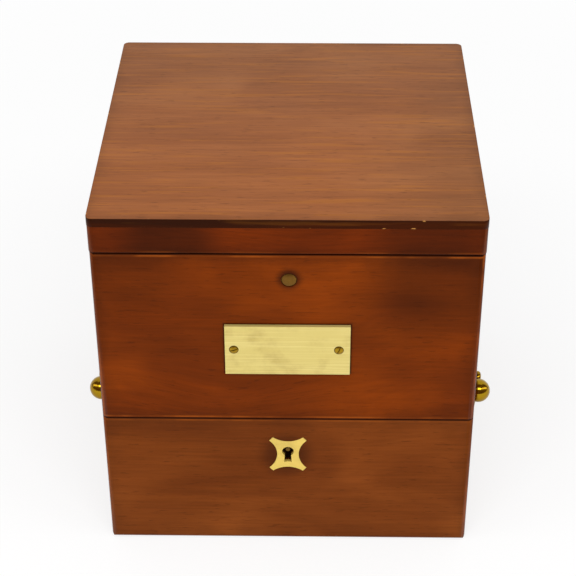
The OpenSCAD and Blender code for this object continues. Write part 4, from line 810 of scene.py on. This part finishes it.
# %% Finishes by node
FINISHES = {
    lower_wood: ["lower_carcass"],
    middle_wood: ["middle_carcass"],
    lid_wood: ["lid_frame"],
    top_wood: ["lid_board"],
    inner_wood: ["base_board", "window_beads"],
    handle_brass: ["handle_posts", "left_handle_bail", "right_handle_bail"],
    polished_brass: ["bezel", "gimbal_ring", "bowl", "gimbal_lock_lever", "gimbal_lock_post"],
    tarnished_shaded_lock_brass: ["lock_case"],
    worked_brass: ["lower_case_screws", "handle_nuts", "gimbal_brackets",
                   "tier_hinge_lower_leaves", "lock_bolt", "tier_hinge_upper_leaves",
                   "lid_hinge_lower_leaves", "middle_tier_screws", "lock_staple",
                   "lid_hinge_upper_leaves", "lid_screws", "catch_hook", "winding_shutter"],
    pale_brass: ["front_plate"],
    key_brass: ["key_escutcheon"],
    screw_brass: ["plate_screws"],
    dull_brass: ["catch_button", "catch_spring"],
    gilt_brass: ["pillar_plate", "back_plate", "balance_cock", "barrel", "centre_wheel",
                 "third_wheel", "seconds_wheel", "escape_wheel", "balance_wheel",
                 "minute_wheel", "hour_wheel"],
    bright_steel: ["outer_pivot_screws", "inner_pivot_screws", "tier_hinge_pins",
                   "lid_hinge_pins", "barrel_arbor", "ratchet_click", "pallet_lever"],
    blued_steel: ["movement_screws", "mainspring", "balance_spring", "minute_hand",
                  "seconds_hand", "hour_hand"],
    window_glass: ["window_glass", "crystal"],
    dial_silver: ["dial"],
}


def dress(node, material):
    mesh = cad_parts[node].data
    mesh.materials.clear()
    mesh.materials.append(material)


for material, nodes in FINISHES.items():
    for node in nodes:
        dress(node, material)
dressed = {node for nodes in FINISHES.values() for node in nodes}
print("dressed", len(dressed), "left out:", sorted(set(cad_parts) - dressed))

# %% [markdown]
# ## Eased edges
#
# No real board has a knife edge. A bevel modifier rounds the arrises of the wooden nodes by
# 0.3 mm. The modifier leaves the exact mesh under it alone. A weld comes first, because the
# imported faces don't share their corners.

# %% Bevels on the boards
WELD = 0.002 * MM
EASED_EDGE = 0.3 * MM
SHARPEST_KEPT = math.radians(50)


def ease_edges(node):
    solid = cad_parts[node]
    weld = solid.modifiers.new("weld", "WELD")
    weld.merge_threshold = WELD
    bevel = solid.modifiers.new("eased edges", "BEVEL")
    bevel.width = EASED_EDGE
    bevel.segments = 2
    bevel.limit_method = "ANGLE"
    bevel.angle_limit = SHARPEST_KEPT
    bevel.harden_normals = True


for node in ("lower_carcass", "middle_carcass", "lid_frame", "lid_board"):
    ease_edges(node)
print("edges eased")

# %% [markdown]
# ## Printing on the dial
#
# The hours of such a dial are engraved in Roman figures and filled with black wax, with a
# minute ring outside them and a small seconds ring at the bottom. The printing is flat
# black mesh a few hundredths of a millimetre thick, so that it shows from any side and
# needs no picture. Every shape of it is a list of outlines.

# %% Black wax and flat shapes
PRINT_THICKNESS = 0.04 * MM


def wax_material():
    material, g, shader = new_material("black wax")
    wear = g.noise(g.add("TexCoord").outputs["Object"], 1400.0)
    colour = g.mix(g.span(wear, 0.5, 0.8), linear(18, 17, 18), linear(46, 43, 42))
    g.feed(shader.inputs["Base Color"], colour)
    shader.inputs["Roughness"].default_value = 0.45
    return material


black_wax = wax_material()


def new_piece(name, made, material):
    """An object from a finished bmesh."""
    mesh = bpy.data.meshes.new(name)
    made.to_mesh(mesh)
    made.free()
    mesh.materials.append(material)
    piece = bpy.data.objects.new(name, mesh)
    bpy.context.collection.objects.link(piece)
    return piece


def printed(name, outlines):
    """Flat outlines on the dial as one mesh. Each is a list of points in metres."""
    made = bmesh.new()
    for outline in outlines:
        bottom = [made.verts.new((x, y, DIAL_TOP)) for x, y in outline]
        top = [made.verts.new((x, y, DIAL_TOP + PRINT_THICKNESS)) for x, y in outline]
        made.faces.new(list(reversed(bottom)))
        made.faces.new(top)
        for i in range(len(outline)):
            j = (i + 1) % len(outline)
            made.faces.new((bottom[i], bottom[j], top[j], top[i]))
    bmesh.ops.recalc_face_normals(made, faces=made.faces)
    piece = new_piece(name, made, black_wax)
    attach(piece, "bowl")
    return piece


def on_clock(radius, degrees, side=0.0, centre=(0.0, 0.0)):
    """A point at a radius and a clock angle, moved sideways, clockwise from twelve."""
    turn = math.radians(degrees)
    return (centre[0] + radius * math.sin(turn) + side * math.cos(turn),
            centre[1] + radius * math.cos(turn) - side * math.sin(turn))


print("wax ready")

# %% [markdown]
# A ring is a chain of short straight pieces, and a scale is a ring of ticks. Every fifth
# tick gets a longer and thicker one over it.

# %% Minute and seconds rings
MINUTE_RING = (33.2 * MM, 34.9 * MM)
SECONDS_RING = (8.4 * MM, 9.5 * MM)
LONGER = 0.5 * MM


def ring(radius, line, steps, centre=(0.0, 0.0)):
    inner, outer = radius - line / 2, radius + line / 2
    outlines = []
    for i in range(steps):
        a, b = 360 * i / steps, 360 * (i + 1) / steps
        outlines.append([on_clock(inner, a, 0, centre), on_clock(outer, a, 0, centre),
                         on_clock(outer, b, 0, centre), on_clock(inner, b, 0, centre)])
    return outlines


def ticks(inner, outer, count, width, centre=(0.0, 0.0)):
    outlines = []
    for i in range(count):
        angle = 360 * i / count
        outlines.append([on_clock(inner, angle, -width / 2, centre),
                         on_clock(inner, angle, width / 2, centre),
                         on_clock(outer, angle, width / 2, centre),
                         on_clock(outer, angle, -width / 2, centre)])
    return outlines


minute_track = ring(MINUTE_RING[0], 0.14 * MM, 180) + ring(MINUTE_RING[1], 0.14 * MM, 180)
minute_track += ticks(*MINUTE_RING, 60, 0.2 * MM)
minute_track += ticks(MINUTE_RING[0], MINUTE_RING[1] + LONGER, 12, 0.5 * MM)
printed("minute_track", minute_track)

seconds_track = ring(SECONDS_RING[0], 0.1 * MM, 90, SECONDS_CENTRE)
seconds_track += ring(SECONDS_RING[1], 0.1 * MM, 90, SECONDS_CENTRE)
seconds_track += ticks(*SECONDS_RING, 60, 0.12 * MM, SECONDS_CENTRE)
seconds_track += ticks(SECONDS_RING[0] - LONGER, SECONDS_RING[1], 12, 0.25 * MM,
                       SECONDS_CENTRE)
printed("seconds_track", seconds_track)
print("outlines:", len(minute_track), len(seconds_track))

# %% [markdown]
# A Roman figure is put together from straight strokes, thick and thin, with short feet. It
# is drawn upright in its own little frame, u to the right and v up, and then wrapped onto
# the dial so that its foot points to the centre. VI is left out, because the seconds ring
# stands there.

# %% Hour figures
FIGURE_FOOT = 23.6 * MM
FIGURE_HEIGHT = 7.6 * MM
THICK, THIN, SERIF = 1.15 * MM, 0.35 * MM, 0.3 * MM
STRAIGHT_FOOT, SLANTED_FOOT = 0.85 * THICK, 0.75 * THICK
V_TIP = 0.2 * MM
STROKES = {"I": 2.0 * MM, "V": 4.2 * MM, "X": 4.4 * MM}
HOURS = ["XII", "I", "II", "III", "IIII", "V", "", "VII", "VIII", "IX", "X", "XI"]


def slanted(u0, u1, width):
    """A stroke from (u0, 0) up to (u1, top)."""
    return [(u0 - width / 2, 0), (u0 + width / 2, 0), (u1 + width / 2, FIGURE_HEIGHT),
            (u1 - width / 2, FIGURE_HEIGHT)]


def bar(u0, u1, v0, v1):
    return [(u0, v0), (u1, v0), (u1, v1), (u0, v1)]


def figure_strokes(letter, centre):
    """The strokes of one letter, centred on u = centre."""
    top = FIGURE_HEIGHT
    if letter == "I":
        foot = STRAIGHT_FOOT
        return [slanted(centre, centre, THICK), bar(centre - foot, centre + foot, 0, SERIF),
                bar(centre - foot, centre + foot, top - SERIF, top)]
    reach = STROKES[letter] / 2 - THICK / 2
    foot = SLANTED_FOOT
    strokes = [bar(centre - reach - foot, centre - reach + foot, top - SERIF, top),
               bar(centre + reach - foot, centre + reach + foot, top - SERIF, top)]
    if letter == "V":
        strokes += [slanted(centre, centre - reach, THICK),
                    slanted(centre + V_TIP, centre + reach, THIN)]
    else:
        strokes += [slanted(centre + reach, centre - reach, THICK),
                    slanted(centre - reach, centre + reach, THIN),
                    bar(centre - reach - foot, centre - reach + foot, 0, SERIF),
                    bar(centre + reach - foot, centre + reach + foot, 0, SERIF)]
    return strokes


def hour_outlines(letters, degrees):
    width = sum(STROKES[letter] for letter in letters)
    u = -width / 2
    outlines = []
    for letter in letters:
        for stroke in figure_strokes(letter, u + STROKES[letter] / 2):
            outlines.append([on_clock(FIGURE_FOOT + v, degrees, s) for s, v in stroke])
        u += STROKES[letter]
    return outlines


hours = []
for i, letters in enumerate(HOURS):
    hours += hour_outlines(letters, 30 * i)
printed("hour_figures", hours)
print("strokes:", len(hours))

# %% [markdown]
# The seconds ring has small Arabic figures. Blender's own font is a curve object, which is
# turned into a mesh so that it exports as geometry.

# %% Seconds figures
NUMBER_SIZE = 1.9 * MM
NUMBER_RADIUS = 6.6 * MM


def seconds_figures():
    """The numbers 10 to 60 as one mesh."""
    made = bmesh.new()
    for value in range(10, 70, 10):
        curve = bpy.data.curves.new(f"seconds_{value}", "FONT")
        curve.body = str(value)
        curve.size = NUMBER_SIZE
        curve.extrude = PRINT_THICKNESS / 2
        curve.align_x, curve.align_y = "CENTER", "CENTER"
        text = bpy.data.objects.new(f"seconds_{value}", curve)
        x, y = on_clock(NUMBER_RADIUS, value * 6, 0, SECONDS_CENTRE)
        text.location = (x, y, DIAL_TOP + PRINT_THICKNESS / 2)
        bpy.context.collection.objects.link(text)
        bpy.context.view_layer.update()
        mesh = bpy.data.meshes.new_from_object(text)
        mesh.transform(text.matrix_world)
        bpy.data.objects.remove(text)
        made.from_mesh(mesh)
    piece = new_piece("seconds_figures", made, black_wax)
    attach(piece, "bowl")
    return piece


print("seconds figures:", len(seconds_figures().data.polygons), "faces")

# %% [markdown]
# ## The milled edge of the bezel
#
# The bezel screws onto the bowl, so its rim is milled for the fingers. A ring of small
# half-round ridges sits on the exact bezel.

# %% Bezel milling
BEZEL_RADIUS = 43.2 * MM
MILLING = (GIMBAL_Z + 10.4 * MM, GIMBAL_Z + 11.9 * MM)
RIDGES, RIDGE_STEPS = 150, 5
RIDGE_HEIGHT, RIDGE_SUNK, RING_SUNK = 0.25 * MM, 0.1 * MM, 0.4 * MM


def milled_ring(name):
    points = []
    for i in range(RIDGES):
        for k in range(RIDGE_STEPS):
            share = k / RIDGE_STEPS
            height = RIDGE_HEIGHT * math.sin(math.pi * share)
            points.append((BEZEL_RADIUS - RIDGE_SUNK + height, (i + share) * 360 / RIDGES))
    made = bmesh.new()
    rings = []
    for z in MILLING:
        outer = [made.verts.new((*on_clock(r, a), z)) for r, a in points]
        inner = [made.verts.new((*on_clock(BEZEL_RADIUS - RING_SUNK, a), z)) for _, a in points]
        rings.append((outer, inner))
    (low_out, low_in), (top_out, top_in) = rings
    for i in range(len(points)):
        j = (i + 1) % len(points)
        made.faces.new((low_out[i], low_out[j], top_out[j], top_out[i]))
        made.faces.new((top_out[i], top_out[j], top_in[j], top_in[i]))
        made.faces.new((top_in[i], top_in[j], low_in[j], low_in[i]))
        made.faces.new((low_in[i], low_in[j], low_out[j], low_out[i]))
    bmesh.ops.recalc_face_normals(made, faces=made.faces)
    piece = new_piece(name, made, polished_brass)
    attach(piece, "bowl")
    return piece


milled_ring("bezel_milling")
print("ridges:", RIDGES)

# %% [markdown]
# ## The catch spring
#
# The spring is a brass leaf, screwed to the front board at its foot. The button's stem pushes
# its upper end back, and that frees the hook of the lid. A solid can't bend, so a piece in
# the shape of the leaf takes its place. It is the leaf's own mesh, cut into thin slices, so
# that it has corners to bend at.

# %% Catch spring
SLICE = 0.8 * MM
CUT_TOLERANCE = 0.0001 * MM


def bending_copy(node, name):
    """A copy of an upright node, cut across at every SLICE of its height."""
    low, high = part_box(node)
    made = bmesh.new()
    made.from_mesh(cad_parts[node].data)
    bmesh.ops.remove_doubles(made, verts=made.verts, dist=WELD)
    for i in range(1, int((high[2] - low[2]) / SLICE)):
        bmesh.ops.bisect_plane(made, geom=made.verts[:] + made.edges[:] + made.faces[:],
                               dist=CUT_TOLERANCE, plane_co=(0, 0, low[2] + i * SLICE),
                               plane_no=(0, 0, 1))
    piece = new_piece(name, made, dull_brass)
    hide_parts(node)
    return piece


leaf = bending_copy("catch_spring", "catch_leaf")
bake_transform(leaf)

# %% [markdown]
# ## Floor
#
# The floor is a wide plane just under the box. To the camera it is partly a lamp of strength
# one, which is white and no brighter, so that the paper is white and the soft shadow of the
# box still shows on it. Further away it is all lamp, so that the paper runs into the white
# background with no line between them. Everything else sees plain white paper.

# %% Floor
FLOOR_Z = -0.05 * MM
FLOOR_REACH = 3.0
PAPER_GLOW = 0.72
GLOW_FROM, GLOW_TO = 0.2, 0.75


def floor_material():
    material, g, shader = new_material("white paper floor")
    place = g.add("TexCoord").outputs["Object"]
    fibre = g.span(g.noise(place, 800.0), 0.3, 0.7)
    g.feed(shader.inputs["Base Color"], g.mix(fibre, (0.96, 0.96, 0.96, 1), (0.98, 0.98, 0.98, 1)))
    shader.inputs["Roughness"].default_value = 0.9
    shader.inputs["Specular IOR Level"].default_value = 0.0
    glow = g.add("Emission", {"Color": WHITE, "Strength": 1.0})
    share = g.span(g.length(place), GLOW_FROM, GLOW_TO, PAPER_GLOW, 1.0)
    seen = g.math("MULTIPLY", g.add("LightPath").outputs["Is Camera Ray"], share)
    both = g.add("MixShader", {0: seen, 1: shader.outputs[0], 2: glow.outputs[0]})
    output = next(node for node in g.tree.nodes if node.type == "OUTPUT_MATERIAL")
    g.feed(output.inputs["Surface"], both.outputs[0])
    return material


def make_floor():
    mesh = bpy.data.meshes.new("paper_floor")
    corners = [(x * FLOOR_REACH, y * FLOOR_REACH, FLOOR_Z)
               for x, y in ((-1, -1), (1, -1), (1, 1), (-1, 1))]
    mesh.from_pydata(corners, [], [(0, 1, 2, 3)])
    mesh.materials.append(floor_material())
    floor = bpy.data.objects.new("paper_floor", mesh)
    bpy.context.collection.objects.link(floor)
    return floor


make_floor()
print("floor laid")
